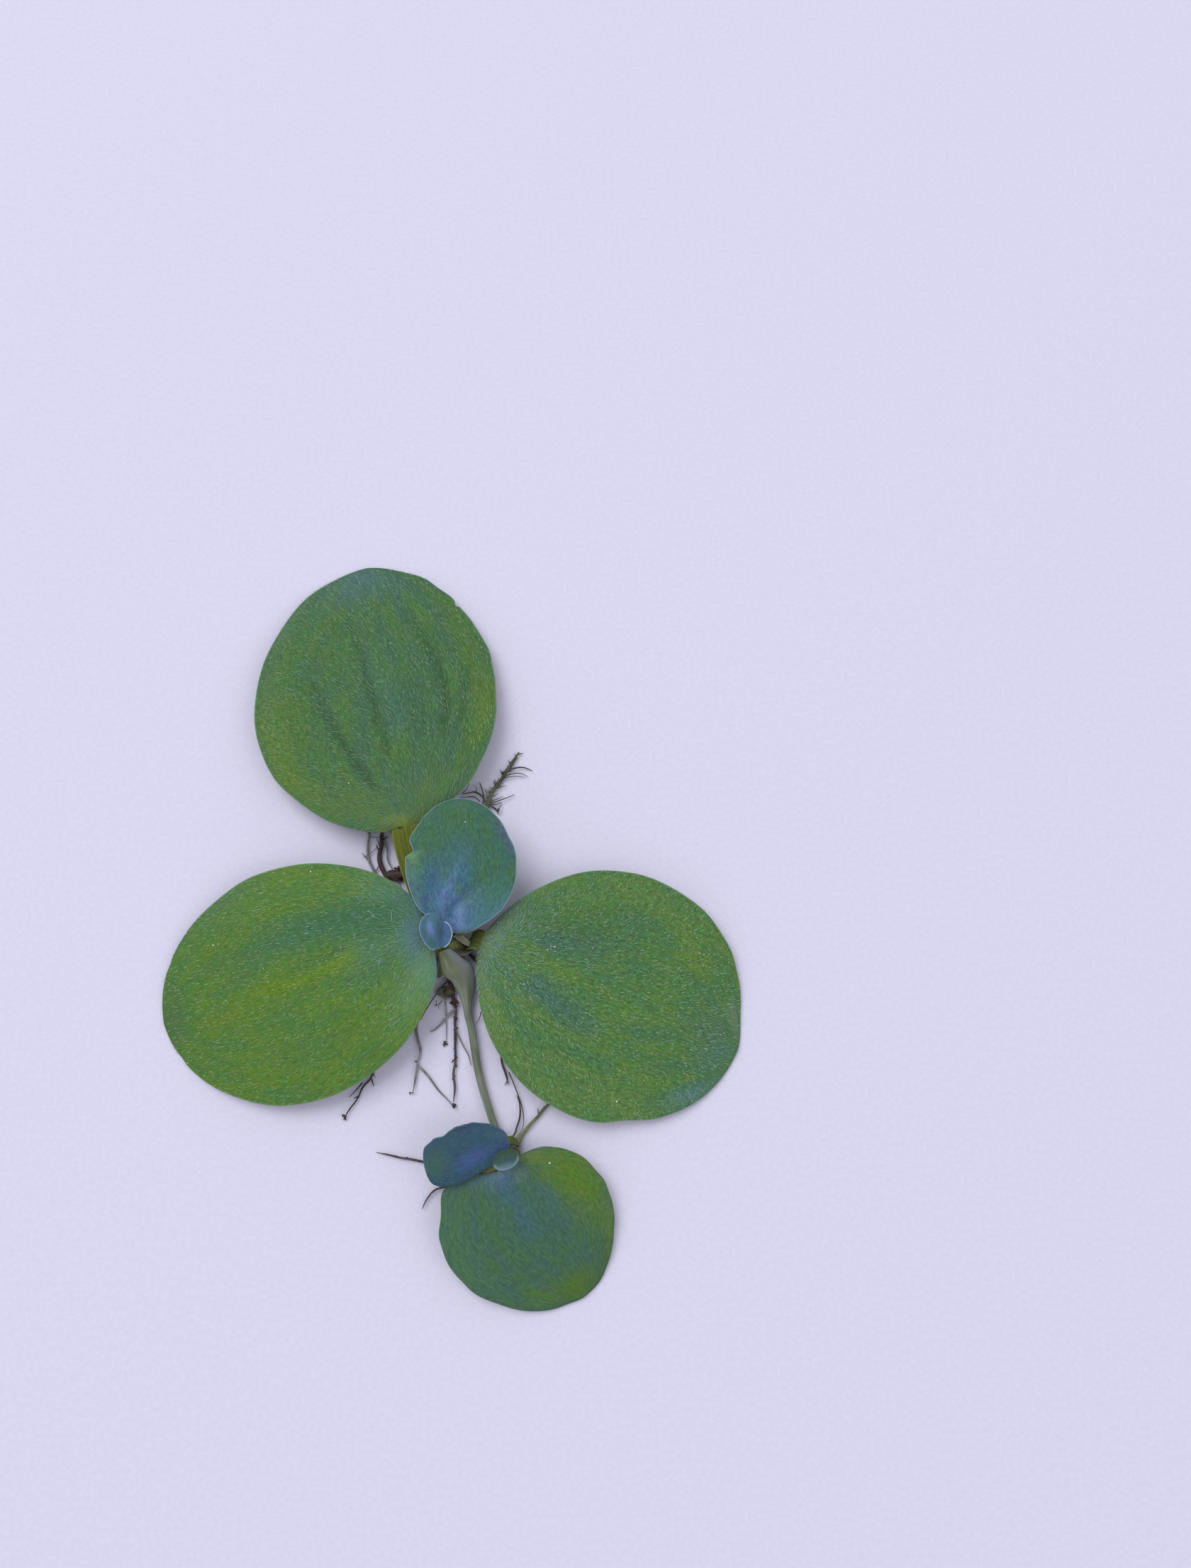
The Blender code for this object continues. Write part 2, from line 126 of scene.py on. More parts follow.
# Places on a blade are (reach, across): reach from 0 at its base to 1 at its tip, across from -1 at
# the right margin to 1 at the left one.
# `mesh` is how many rings and sides the blade has. `tones` are the blade's two greens, its base and
# its rim, which is painted light caught along the wet edge (on daughter_leaf_large a painted shadow
# line), `base_end` how far the base's tone reaches, `value` how dark and light the papillae are
# painted, standing for the light on them and the shade between them, `cast` a turn of all hues (0.5
# is none) and their saturation, and `rim` the painted rim's breadth, strength and side (0 for both,
# 1 left, -1 right).
# `stalk_tones` are the stalk's flesh and its paler strings.
# A fold is (kind, breadth, depth, strength, route); below 0 the depth makes it a ridge. The three
# `fold_tones` belong to the three kinds: the first is painted shade in a furrow, the second paler
# tissue with painted light on a ridge, the third a band of colour. `ribs` is the height of the ribs
# under the folds.
# A tint is (reach, across, half-length, half-breadth, colour, strength).
# `down` is the spacing of the short hairs, their least and greatest length and their radius (a real
# hair's is about 0.01 mm; they are drawn thicker, so that they show), `lean` how far they turn to
# the left of straight away from the base (degrees, degrees more towards the left margin, and their
# tousle), `wool` the number of long kinked hairs, how far along the blade they stand, their lengths
# and radius, and `specks` the places and radii of the whitish grains that are painted glints.
# kinds of fold: a furrow with painted shade, a pale ridge partly painted light, a band of colour
SHADED_FURROW, PALE, BAND = 0, 1, 2
PLAIN_LOOK = dict(stalk_tones=("#474f1e", "#6f7742"), wool=None, specks=())
GROWN = dict(PLAIN_LOOK, slot="grown_leaf", mesh=(150, 132), rim=(0.16, 0.35, 0), ribs=0.25)
YOUNG = dict(PLAIN_LOOK, slot="young_leaf", hairs="young")
BUD = dict(
    YOUNG, mesh=(64, 52), base_end=0.3, value=(0.88, 1.06), cast=(0.5, 1.0), ribs=0.0, folds=(),
    down=(0.24, 0.03, 0.07, 0.02), lean=(0, 0, 60))
LOOKS = {
    "leaf_left": dict(
        GROWN, hairs="velvet", tones=("#5d7f36", "#507840", "#577c8a", "#6f8a72"), base_end=0.14,
        value=(0.64, 1.2), cast=(0.5, 1.1), fold_tones=("#42642f", "#678628", "#426e4e"),
        folds=(
            (BAND, 1.9, 0.1, 1.0, ((0.03, -0.7), (0.22, -0.41), (0.36, -0.4), (0.49, -0.38), (0.63, -0.34),
                (0.78, -0.28))),
            (PALE, 0.8, -0.06, 0.6, ((0.2, -0.14), (0.31, -0.04), (0.42, -0.01), (0.53, 0.0), (0.6, 0.01),
                (0.74, 0.11), (0.85, 0.22))),
            (SHADED_FURROW, 0.45, 0.1, 0.6, ((0.26, -0.18), (0.36, -0.12), (0.47, -0.08), (0.6, -0.07))),
            (BAND, 0.7, 0.05, 0.5, ((0.12, 0.14), (0.22, 0.17), (0.36, 0.18))),
            (SHADED_FURROW, 0.4, 0.05, 0.25, ((0.1, 0.5), (0.3, 0.56), (0.5, 0.56), (0.7, 0.5)))),
        tints=(
            (0.1, -0.75, 0.16, 0.4, "#587f6a", 0.65), (0.1, 0.7, 0.18, 0.4, "#6c9160", 0.75),
            (0.2, -0.05, 0.14, 0.3, "#527a68", 0.6), (0.56, 0.02, 0.2, 0.1, "#667f28", 0.6),
            (0.78, 0.18, 0.13, 0.15, "#6a7e30", 0.5), (0.72, -0.4, 0.16, 0.4, "#527236", 0.4),
            (0.5, -0.82, 0.35, 0.18, "#5f8240", 0.5), (0.5, 0.6, 0.35, 0.3, "#5b7c38", 0.4),
            (0.7, -0.92, 0.2, 0.12, "#52745a", 0.5), (0.98, 0.0, 0.08, 0.9, "#4d6b48", 0.6)),
        down=(0.25, 0.18, 0.42, 0.024), lean=(8, -24, 8), wool=(32, (0.05, 0.34), (0.5, 1.2), 0.026),
        specks=((0.75, -0.62, 0.07), (0.35, -0.92, 0.09), (0.59, -0.2, 0.06))),
    "leaf_right": dict(
        GROWN, hairs="frosty", tones=("#5b7e40", "#4b744a", "#6b8a6c", "#71907c"), base_end=0.12,
        value=(0.54, 1.3), cast=(0.503, 1.08), fold_tones=("#41643a", "#607e38", "#44695a"),
        folds=(
            (PALE, 0.6, 0.05, 0.55, ((0.08, 0.1), (0.18, 0.06), (0.3, 0.01), (0.4, 0.0), (0.56, 0.01))),
            (BAND, 1.5, 0.06, 0.8, ((0.18, -0.16), (0.3, -0.24), (0.42, -0.3), (0.58, -0.34))),
            (BAND, 1.4, 0.06, 0.6, ((0.16, 0.2), (0.28, 0.26), (0.4, 0.28), (0.55, 0.3))),
            (PALE, 0.5, -0.05, 0.5, ((0.2, -0.36), (0.3, -0.4), (0.4, -0.42), (0.5, -0.47))),
            (SHADED_FURROW, 0.4, 0.08, 0.35, ((0.2, 0.55), (0.35, 0.62), (0.55, 0.62), (0.72, 0.52)))),
        tints=(
            (0.33, 0.38, 0.2, 0.25, "#456a44", 0.7), (0.45, -0.86, 0.42, 0.2, "#5f8047", 0.8),
            (0.12, -0.8, 0.12, 0.25, "#6a8740", 0.6), (0.67, -0.75, 0.12, 0.2, "#688440", 0.5),
            (0.5, 0.01, 0.08, 0.07, "#64802e", 0.4), (0.74, 0.58, 0.1, 0.16, "#66833c", 0.5),
            (0.5, 0.86, 0.35, 0.16, "#5d7e44", 0.7), (0.9, 0.0, 0.14, 0.5, "#52725a", 0.6),
            (0.94, -0.25, 0.08, 0.3, "#4f7668", 0.6), (0.9, -0.8, 0.12, 0.22, "#587c80", 0.65),
            (0.97, 0.55, 0.06, 0.3, "#71857e", 0.5)),
        down=(0.25, 0.18, 0.42, 0.024), lean=(10, 25, 8), wool=(110, (0.02, 0.24), (0.2, 0.5), 0.026),
        specks=((0.25, 0.2, 0.08), (0.24, 0.17, 0.06), (0.23, 0.16, 0.06), (0.74, 0.66, 0.08),
                (0.77, 0.6, 0.07), (0.66, -0.82, 0.08), (0.665, -0.8, 0.05), (0.2, -0.26, 0.07),
                (0.19, -0.06, 0.06))),
    "leaf_back": dict(
        GROWN, hairs="fine", mesh=(160, 132), tones=("#52763e", "#42694c", "#5c7a50", "#71907f"),
        stalk_tones=("#5c661a", "#7f8838"), base_end=0.08, value=(0.6, 1.22), cast=(0.51, 1.06),
        fold_tones=("#33552f", "#5d7a38", "#45705c"),
        folds=(
            (SHADED_FURROW, 0.5, 0.16, 0.75, ((0.1, 0.14), (0.15, 0.19), (0.3, 0.3), (0.42, 0.38), (0.51, 0.46),
                (0.65, 0.54), (0.74, 0.62))),
            (SHADED_FURROW, 0.5, 0.16, 0.75, ((0.2, -0.03), (0.33, -0.03), (0.47, 0.01), (0.58, 0.03), (0.67, 0.09),
                (0.78, 0.19), (0.9, 0.38))),
            (SHADED_FURROW, 0.5, 0.16, 0.75, ((0.25, -0.52), (0.41, -0.59), (0.53, -0.58), (0.64, -0.53),
                (0.72, -0.51), (0.78, -0.49), (0.86, -0.33))),
            (SHADED_FURROW, 0.5, 0.1, 0.5, ((0.3, -0.68), (0.35, -0.7), (0.48, -0.77), (0.65, -0.92))),
            (BAND, 1.5, 0.08, 0.6, ((0.3, -0.13), (0.42, -0.17), (0.5, -0.14), (0.61, -0.04),
                (0.72, -0.1)))),
        tints=(
            (0.4, -0.42, 0.3, 0.16, "#41694a", 0.7), (0.5, 0.87, 0.42, 0.16, "#5d7c42", 0.7),
            (0.3, 0.86, 0.22, 0.2, "#6a832c", 0.6), (0.12, 0.5, 0.12, 0.5, "#648034", 0.6),
            (0.5, -0.86, 0.42, 0.16, "#5a7734", 0.7), (0.37, -0.9, 0.16, 0.14, "#667f30", 0.5),
            (0.47, 0.62, 0.15, 0.16, "#5b7a2a", 0.65), (0.6, 0.3, 0.14, 0.12, "#527634", 0.4),
            (0.03, 0.0, 0.04, 0.6, "#8a9a48", 0.6), (0.08, -0.5, 0.1, 0.45, "#63803c", 0.6),
            (0.5, 0.72, 0.09, 0.1, "#637b2c", 0.35), (0.81, 0.4, 0.08, 0.12, "#617b32", 0.5),
            (0.62, -0.55, 0.14, 0.13, "#3d6440", 0.5), (0.42, -0.28, 0.16, 0.16, "#38603f", 0.6),
            # the bluish tint along the tip, at reach 0.97, is a painted reflection on the far rim
            (0.7, 0.02, 0.1, 0.1, "#42654a", 0.5), (0.97, 0.1, 0.13, 0.9, "#54767a", 0.7),
            (0.86, 0.6, 0.1, 0.2, "#577c4c", 0.5), (0.8, 0.92, 0.14, 0.12, "#56785e", 0.6)),
        down=(0.23, 0.25, 0.5, 0.021), lean=(36, -8, 8), specks=((0.19, 0.42, 0.07), (0.5, -0.48, 0.06))),
    "leaf_inner": dict(
        YOUNG, mesh=(150, 96), tones=("#456c4b", "#41695a", "#688bae", "#93a9bc"), base_end=0.4,
        value=(0.66, 1.22), cast=(0.51, 1.08), rim=(0.13, 0.7, 0),
        fold_tones=("#38597a", "#648aa8", "#44707e"), ribs=0.12,
        folds=(
            (SHADED_FURROW, 0.5, 0.18, 0.55, ((0.08, 0.95), (0.2, 0.84), (0.29, 0.65), (0.37, 0.53), (0.53, 0.42),
                (0.65, 0.38))),
            (PALE, 0.45, -0.12, 0.6, ((0.1, 0.55), (0.21, 0.45), (0.31, 0.26), (0.44, 0.07), (0.56, -0.09),
                (0.66, -0.24))),
            (SHADED_FURROW, 0.42, 0.18, 0.65, ((0.08, 0.42), (0.17, 0.27), (0.24, 0.02), (0.31, -0.18),
                (0.35, -0.31), (0.39, -0.46))),
            (BAND, 0.7, 0.05, 0.5, ((0.05, -0.1), (0.12, -0.3), (0.2, -0.5), (0.26, -0.68)))),
        tints=(
            (0.16, -0.65, 0.24, 0.38, "#457a6c", 0.85), (0.3, -0.7, 0.2, 0.3, "#48705c", 0.6),
            (0.13, 0.12, 0.14, 0.26, "#7a99bd", 0.7), (0.05, 0.6, 0.07, 0.25, "#5b7896", 0.6),
            (0.27, 0.25, 0.12, 0.24, "#6084a6", 0.65), (0.42, -0.05, 0.14, 0.22, "#46749a", 0.5),
            (0.4, 0.9, 0.16, 0.15, "#587c8c", 0.6), (0.3, 0.45, 0.3, 0.4, "#4c7090", 0.65),
            (0.55, 0.0, 0.22, 0.4, "#426a74", 0.55), (0.52, 0.8, 0.14, 0.2, "#5f8468", 0.5),
            (0.59, 0.86, 0.07, 0.14, "#7fa266", 0.4), (0.69, -0.93, 0.2, 0.1, "#555f80", 0.7),
            (0.87, 0.05, 0.17, 0.7, "#456d42", 0.75), (0.95, -0.2, 0.08, 0.6, "#4e6e60", 0.5)),
        down=(0.3, 0.05, 0.14, 0.024), lean=(0, 0, 50), wool=(240, (0.03, 0.34), (0.25, 0.65), 0.018),
        specks=((0.81, -0.17, 0.07), (0.82, -0.19, 0.04))),
    "bud_leaf_outer": dict(
        BUD, mesh=(72, 60), tones=("#4f7590", "#4a7278", "#5478a0", "#96aeca"), rim=(0.11, 0.85, 1),
        fold_tones=("#3f6478", "#7f97c2", "#4a7274"),
        tints=(
            # the lilac-blue tint in the middle is a painted highlight; the dark one on the right is painted
            # shade where the inner bud leaf lies
            (0.55, 0.05, 0.3, 0.35, "#708cc4", 0.8), (0.15, 0.4, 0.3, 0.6, "#44726a", 0.8),
            (0.4, -0.75, 0.4, 0.4, "#3d5c70", 0.8))),
    "bud_leaf_inner": dict(
        # darker greens and a dark tint on the left half: painted shade in the hollow between the two bud
        # leaves
        BUD, tones=("#4c6c92", "#3d5e78", "#45658c", "#a9bfce"), rim=(0.16, 0.9, -1),
        fold_tones=("#35556a", "#7f97c2", "#4a7274"),
        tints=(
            (0.6, 0.6, 0.5, 0.5, "#35586a", 0.85),)),
    "daughter_leaf_large": dict(
        # its rim tone, darker than the blade, is a painted shadow line along the margin
        GROWN, hairs="daughter", mesh=(130, 110), tones=("#486a48", "#446358", "#567180", "#3c553a"),
        base_end=0.12, value=(0.72, 1.2), cast=(0.5, 1.1), rim=(0.2, 0.5, 0),
        fold_tones=("#3f5c48", "#4f7258", "#40607a"), ribs=0.2,
        folds=(
            (BAND, 1.1, 0.08, 0.55, ((0.02, -0.03), (0.07, -0.05), (0.17, -0.08), (0.31, -0.06),
                (0.6, -0.18))),
            (BAND, 0.8, 0.05, 0.4, ((0.2, 0.36), (0.3, 0.33), (0.4, 0.29), (0.62, 0.27))),
            (PALE, 0.4, -0.04, 0.4, ((0.08, 0.18), (0.22, 0.16), (0.45, 0.1))),
            (SHADED_FURROW, 0.4, 0.05, 0.3, ((0.2, -0.4), (0.4, -0.46), (0.6, -0.46)))),
        tints=(
            (0.32, 0.75, 0.42, 0.45, "#5a7830", 0.9), (0.06, -0.05, 0.09, 0.3, "#6a8098", 0.6),
            (0.09, 0.24, 0.08, 0.2, "#708a84", 0.6), (0.4, -0.86, 0.42, 0.22, "#4c6d52", 0.8),
            (0.05, 0.7, 0.1, 0.25, "#66783a", 0.7), (0.74, 0.92, 0.2, 0.15, "#5f7838", 0.6),
            (0.85, -0.6, 0.14, 0.3, "#557636", 0.6), (0.45, 0.0, 0.3, 0.4, "#426358", 0.5),
            (0.94, 0.0, 0.14, 0.7, "#526f2e", 0.85), (0.88, 0.85, 0.12, 0.3, "#4a6638", 0.6)),
        down=(0.27, 0.06, 0.16, 0.024), lean=(0, 0, 60), specks=((0.16, 0.66, 0.07),)),
    "daughter_leaf_small": dict(
        YOUNG, hairs="daughter", mesh=(96, 84), tones=("#2f535f", "#31516a", "#36537c", "#587c8e"),
        base_end=0.2, value=(0.82, 1.08), cast=(0.51, 1.0), rim=(0.2, 0.45, -1),
        fold_tones=("#35506a", "#45638a", "#3d5880"), ribs=0.1,
        folds=(
            (BAND, 1.0, 0.06, 0.2, ((0.15, 0.15), (0.3, 0.2), (0.5, 0.3), (0.7, 0.4))),),
        tints=(
            (0.38, 0.2, 0.34, 0.42, "#43628f", 0.7), (0.9, -0.1, 0.24, 0.9, "#3a5c52", 0.9),
            (0.12, -0.5, 0.2, 0.3, "#3b5f60", 0.6), (0.65, -0.7, 0.3, 0.3, "#305360", 0.6),
            (0.5, -0.98, 0.5, 0.2, "#284250", 0.8), (0.55, 0.45, 0.25, 0.25, "#3a5a86", 0.5)),
        down=(0.27, 0.05, 0.12, 0.022), lean=(0, 0, 60)),
    "daughter_bud_leaf": dict(
        BUD, hairs="daughter", tones=("#3b5750", "#38544e", "#3a543f", "#718c9c"), rim=(0.36, 0.9, 1),
        fold_tones=("#3c5c56", "#6f8f90", "#4a6b66"),
        tints=(
            # the dark green tint over its right half is painted shade
            (0.4, -0.8, 0.6, 0.5, "#3a5638", 0.8), (0.6, 0.5, 0.4, 0.4, "#5c8086", 0.6))),
}

# ---- stem: shapes, in millimetres

RIBBON_STEP = 0.15      # millimetres between the rows of a ribbon

# Crowns: turned profiles (radius, height), a little fuller than the solids so that the stalks join.
CROWN_PROFILE = ((0.05, 3.95), (0.3, 3.7), (0.5, 2.9), (1.15, 2.35), (1.8, 1.75), (2.0, 0.9), (1.5, 0.03))
DAUGHTER_CROWN_AT = (5.9, -18.6)
DAUGHTER_CROWN_PROFILE = ((0.05, 3.1), (0.3, 2.8), (0.5, 2.0), (1.0, 1.3), (1.05, 0.6), (0.75, 0.03))

# Ribbons: (x, y, z, half-width on their left, on their right, half-thickness) along them.
STOLON = (
    (0.0, -0.7, 2.75, 0.45, 0.6, 0.22), (0.35, -1.45, 2.3, 0.9, 1.0, 0.32),
    (0.75, -2.2, 1.85, 1.25, 1.2, 0.4), (1.3, -2.9, 1.45, 1.4, 1.0, 0.45),
    (1.75, -3.8, 1.1, 0.95, 0.9, 0.47), (1.95, -4.8, 0.85, 0.6, 0.65, 0.46),
    (2.0, -5.6, 0.72, 0.42, 0.46, 0.43), (2.12, -6.6, 0.62, 0.35, 0.36, 0.38),
    (2.42, -7.8, 0.56, 0.34, 0.34, 0.36), (3.0, -11.0, 0.5, 0.36, 0.36, 0.35),
    (3.55, -13.1, 0.5, 0.36, 0.36, 0.34), (4.45, -15.75, 0.6, 0.34, 0.34, 0.32),
    (5.2, -17.5, 0.9, 0.33, 0.33, 0.3), (5.65, -18.3, 1.1, 0.3, 0.3, 0.28))
SHEATH_LOBE = (
    (-0.1, -0.95, 2.6, 0.5, 0.5, 0.12), (-0.15, -1.7, 2.35, 0.6, 0.52, 0.13),
    (-0.2, -2.35, 2.1, 0.55, 0.5, 0.12), (-0.45, -2.85, 1.85, 0.35, 0.33, 0.08),
    (-0.7, -3.15, 1.75, 0.08, 0.1, 0.04))
CROWN_SHEATH = (
    (0.35, 0.95, 3.2, 0.2, 0.25, 0.06), (1.1, 0.6, 3.15, 0.26, 0.3, 0.07),
    (1.8, 0.1, 2.85, 0.26, 0.3, 0.07), (2.5, -0.3, 2.45, 0.16, 0.2, 0.05))
# A thin dark crescent of membrane by the crown, right of the bud: its dark brown is painted shade of the wet
# gap there, and its whitish edges are painted glints.
SHADE_CRESCENT = (
    (0.35, -0.62, 2.5, 0.1, 0.1, 0.08), (0.9, -0.85, 2.3, 0.22, 0.2, 0.12),
    (1.4, -0.95, 2.15, 0.26, 0.22, 0.14), (2.05, -0.82, 2.05, 0.2, 0.2, 0.12),
    (2.6, -0.45, 2.0, 0.08, 0.1, 0.06))
DAUGHTER_SHEATH = (
    (5.5, -19.1, 2.05, 0.3, 0.3, 0.1), (4.8, -19.7, 2.3, 0.4, 0.42, 0.12),
    (4.15, -20.02, 2.35, 0.28, 0.3, 0.1), (3.6, -20.3, 2.3, 0.08, 0.1, 0.05))

# ---- roots, in millimetres

ROOT_TIP = 0.6          # radius of a tip, as a share of the root's
ROOT_STEP = 1.1         # millimetres between the places where a root wavers
SIDE_STEP = 0.1         # millimetres between the places where side roots and crumbs may sit
CLEARANCE = 0.04        # between a root's skin and the surface
LUMP_FLATNESS = 0.7     # height of a crumb, as a share of its breadth

# Roots: radius, tone, how many side roots stand on a millimetre and how long they are, how many
# crumbs stick to the root, and its middle line from the crown to the tip.
ROOTS = {
    "root_front_long": (0.17, "brown", 0.3, (0.3, 0.7), 80, (
        (-0.1, -2.1, 0.9), (0.3, -3.4, 0.6), (0.72, -5.2, 0.4), (0.96, -8.0, 0.32), (0.85, -10.7, 0.3),
        (0.95, -14.2, 0.3))),
    "root_front_mid": (0.17, "grey", 0.15, (0.4, 1.2), 6, (
        (-1.0, -1.8, 0.8), (-2.1, -4.4, 0.4), (-2.6, -7.6, 0.3), (-2.3, -9.6, 0.3), (-2.9, -13.4, 0.3))),
    "root_front_left": (0.13, "brown", 0.25, (0.5, 1.4), 14, (
        (-1.8, -1.1, 0.8), (-3.9, -4.8, 0.4), (-5.6, -9.0, 0.3), (-6.8, -12.1, 0.3), (-9.0, -15.8, 0.3))),
    "root_front_right": (0.16, "dark", 0.2, (0.4, 1.0), 6, (
        (2.0, -0.75, 0.8), (4.2, -3.0, 0.4), (4.9, -6.8, 0.3), (5.25, -10.75, 0.3), (5.8, -12.8, 0.3))),
    "root_back_left": (0.18, "grey", 0.6, (0.5, 1.4), 10, (
        (-1.95, 0.7, 0.8), (-4.6, 3.6, 0.4), (-7.2, 6.9, 0.3), (-7.8, 9.5, 0.3), (-7.1, 14.0, 0.3))),
    "root_back_mid": (0.26, "dark", 0.6, (0.5, 1.4), 30, (
        (-1.5, 1.5, 0.8), (-3.8, 4.0, 0.4), (-6.2, 6.7, 0.35), (-6.6, 9.6, 0.3), (-5.5, 15.0, 0.3))),
    "root_back_right": (0.2, "olive", 0.5, (0.5, 1.2), 6, (
        (-0.1, 2.1, 0.7), (-1.5, 6.0, 0.35), (-2.6, 10.0, 0.3), (-2.2, 14.5, 0.3))),
    "root_feathery": (0.27, "olive", 3.2, (0.35, 0.95), 14, (
        (1.0, 1.85, 0.8), (2.2, 6.5, 0.4), (3.5, 13.4, 0.36), (4.35, 15.4, 0.34), (5.15, 16.7, 0.32),
        (6.5, 18.9, 0.3))),
    "daughter_root_right": (0.19, "green", 0.2, (0.4, 0.9), 3, (
        (6.7, -18.1, 0.6), (7.1, -17.3, 0.35), (8.6, -15.5, 0.3), (9.5, -14.6, 0.3), (11.5, -12.8, 0.3))),
    "daughter_root_back": (0.1, "brown", 0.15, (0.3, 0.6), 0, (
        (6.2, -17.5, 0.7), (6.8, -16.5, 0.35), (6.9, -14.6, 0.3), (6.6, -13.5, 0.3))),
    "daughter_root_left": (0.15, "brown", 0.15, (0.4, 0.9), 3, (
        (4.8, -18.9, 0.6), (1.6, -19.6, 0.35), (-1.8, -19.4, 0.3), (-5.9, -18.6, 0.3))),
    "daughter_root_front": (0.13, "brown", 0.15, (0.4, 0.9), 3, (
        (5.1, -19.4, 0.6), (2.6, -20.9, 0.35), (-0.6, -21.9, 0.3), (-1.7, -23.4, 0.3))),
}

# Fine roots: radius and route in plan of each one; they start at a height and sink to the surface.
FINE_ROOTS = {
    "feathery_laterals": ("umber", 0.5, (
        (0.12, ((4.9, 16.7), (5.8, 17.1), (6.9, 17.3), (7.8, 17.0))),
        (0.07, ((4.9, 16.2), (5.8, 16.6), (6.7, 16.7), (7.4, 16.4))),
        (0.06, ((4.7, 16.0), (5.5, 16.3), (6.4, 16.4), (7.1, 16.3))),
        (0.06, ((4.3, 15.1), (4.8, 15.3), (5.3, 15.5))),
        (0.06, ((4.0, 14.3), (4.3, 14.5), (4.6, 14.7))),
        (0.07, ((3.6, 13.8), (4.2, 14.0), (5.0, 14.4))),
        (0.08, ((3.7, 13.6), (4.5, 13.9), (5.5, 14.3), (6.1, 14.6))),
        (0.08, ((3.7, 13.5), (4.4, 13.6), (4.9, 13.8))),
        (0.1, ((3.8, 13.4), (4.3, 13.1), (4.6, 12.6))),
        (0.07, ((4.6, 12.8), (4.7, 13.3), (4.9, 13.6))),
        (0.07, ((3.5, 14.1), (3.4, 14.7), (3.2, 15.2))),
        (0.06, ((3.8, 14.5), (3.7, 14.9), (3.5, 15.2))),
        (0.07, ((4.3, 15.4), (4.1, 15.8), (4.2, 16.1))),
        (0.07, ((4.9, 16.5), (4.8, 16.8), (4.7, 17.1))),
        (0.1, ((3.3, 13.8), (3.1, 14.5), (2.9, 15.3), (2.7, 15.8))),
        (0.12, ((3.1, 13.6), (3.1, 14.2), (2.7, 14.6), (2.2, 14.8), (1.6, 14.7), (1.0, 14.6))),
        (0.07, ((2.8, 13.8), (2.2, 14.3), (1.5, 14.3), (0.9, 14.3))),
        (0.06, ((1.1, 14.7), (1.5, 15.1), (1.7, 15.7))),
        (0.05, ((2.4, 14.8), (2.4, 15.2), (2.1, 15.6))))),
    "front_fine_roots": ("grey", 0.4, (
        (0.09, ((-0.1, -4.9), (0.0, -6.4), (0.1, -7.7), (0.1, -8.9))),
        (0.14, ((0.9, -5.9), (0.3, -6.4), (-0.3, -7.1), (-0.9, -7.7), (-1.4, -8.0))),
        (0.12, ((-2.4, -11.0), (-1.5, -11.9), (-0.5, -13.2), (0.4, -14.1), (1.0, -14.8))),
        (0.08, ((1.0, -7.9), (1.7, -9.3), (2.2, -10.2), (2.4, -11.0))))),
    "front_dark_roots": ("dark", 0.5, (
        (0.08, ((0.0, -3.4), (-0.8, -4.4), (-1.8, -5.9), (-2.3, -6.9))),
        (0.06, ((3.3, -6.1), (3.1, -6.8), (2.8, -7.2))),
        (0.06, ((5.9, -11.6), (6.5, -13.0), (7.0, -14.3), (7.3, -16.0), (7.0, -17.0), (6.3, -17.7))),
        (0.08, ((-7.4, -12.5), (-8.0, -13.2), (-8.6, -13.8))),
        (0.05, ((-0.4, -5.2), (-0.7, -5.6), (-0.6, -5.9))))),
    "back_fine_roots": ("grey", 0.4, (
        (0.12, ((-6.3, 10.0), (-6.0, 9.1), (-5.9, 8.1), (-5.5, 7.3), (-4.6, 5.6))),
        (0.05, ((-7.3, 10.7), (-6.7, 10.9), (-6.0, 11.1))),
        (0.05, ((-7.7, 10.3), (-7.0, 10.3), (-6.4, 10.3))),
        (0.06, ((-8.2, 8.3), (-7.6, 8.7), (-6.9, 9.4), (-5.9, 10.5))),
        (0.08, ((-5.8, 11.0), (-5.3, 10.1), (-5.0, 9.2), (-4.3, 8.4), (-3.6, 6.4))))),
}

# Lumps of tissue: place and half-sizes. Clumps of peat: place, radius and number of crumbs.
ROOT_KNOT = ((-0.1, -4.4, 0.55), (0.8, 0.5, 0.35))
DEAD_LEAF_BASE = ((-4.9, 6.6, 0.6), (0.85, 0.5, 0.35))
PEAT_CLUMPS = (
    (0.75, -5.3, 0.5, 0.28, 22), (0.95, -6.9, 0.4, 0.16, 12), (0.75, -10.6, 0.35, 0.14, 8),
    (-0.05, -9.05, 0.2, 0.2, 8), (-0.85, -5.5, 0.35, 0.16, 8), (0.95, -14.6, 0.3, 0.18, 8),
    (-0.1, -4.3, 0.75, 0.4, 12), (0.5, -4.6, 0.6, 0.25, 12), (-4.6, 6.7, 0.6, 0.5, 26),
    (-8.9, -15.4, 0.25, 0.22, 8), (4.4, 13.0, 0.5, 0.2, 8), (-3.0, -13.4, 0.25, 0.15, 6))

# ---- camera, floor and lights

CAMERA_AT = (9.43, -12.20, 112.3)
CAMERA_LOOKS = (0.0395, 0.2413, -0.9697)
CAMERA_UP = (-0.0049, 0.9706, 0.2413)
CAMERA_SENSOR = 36.0    # along the picture's long side
CAMERA_LENS = 27.16
FLOOR_SIZE = 40000.0
FLOOR_DROP = 0.02       # below the leaves, so that the two faces don't flicker
ROOM_LIGHT = ("#f1f0fa", 0.62)
SOFTBOXES = (           # name, place in metres, size in metres, power in watts
    ("key_softbox", (-0.6, 0.55, 1.2), 1.0, 11.5),
    ("fill_softbox", (1.0, -0.5, 1.1), 1.0, 3.6))


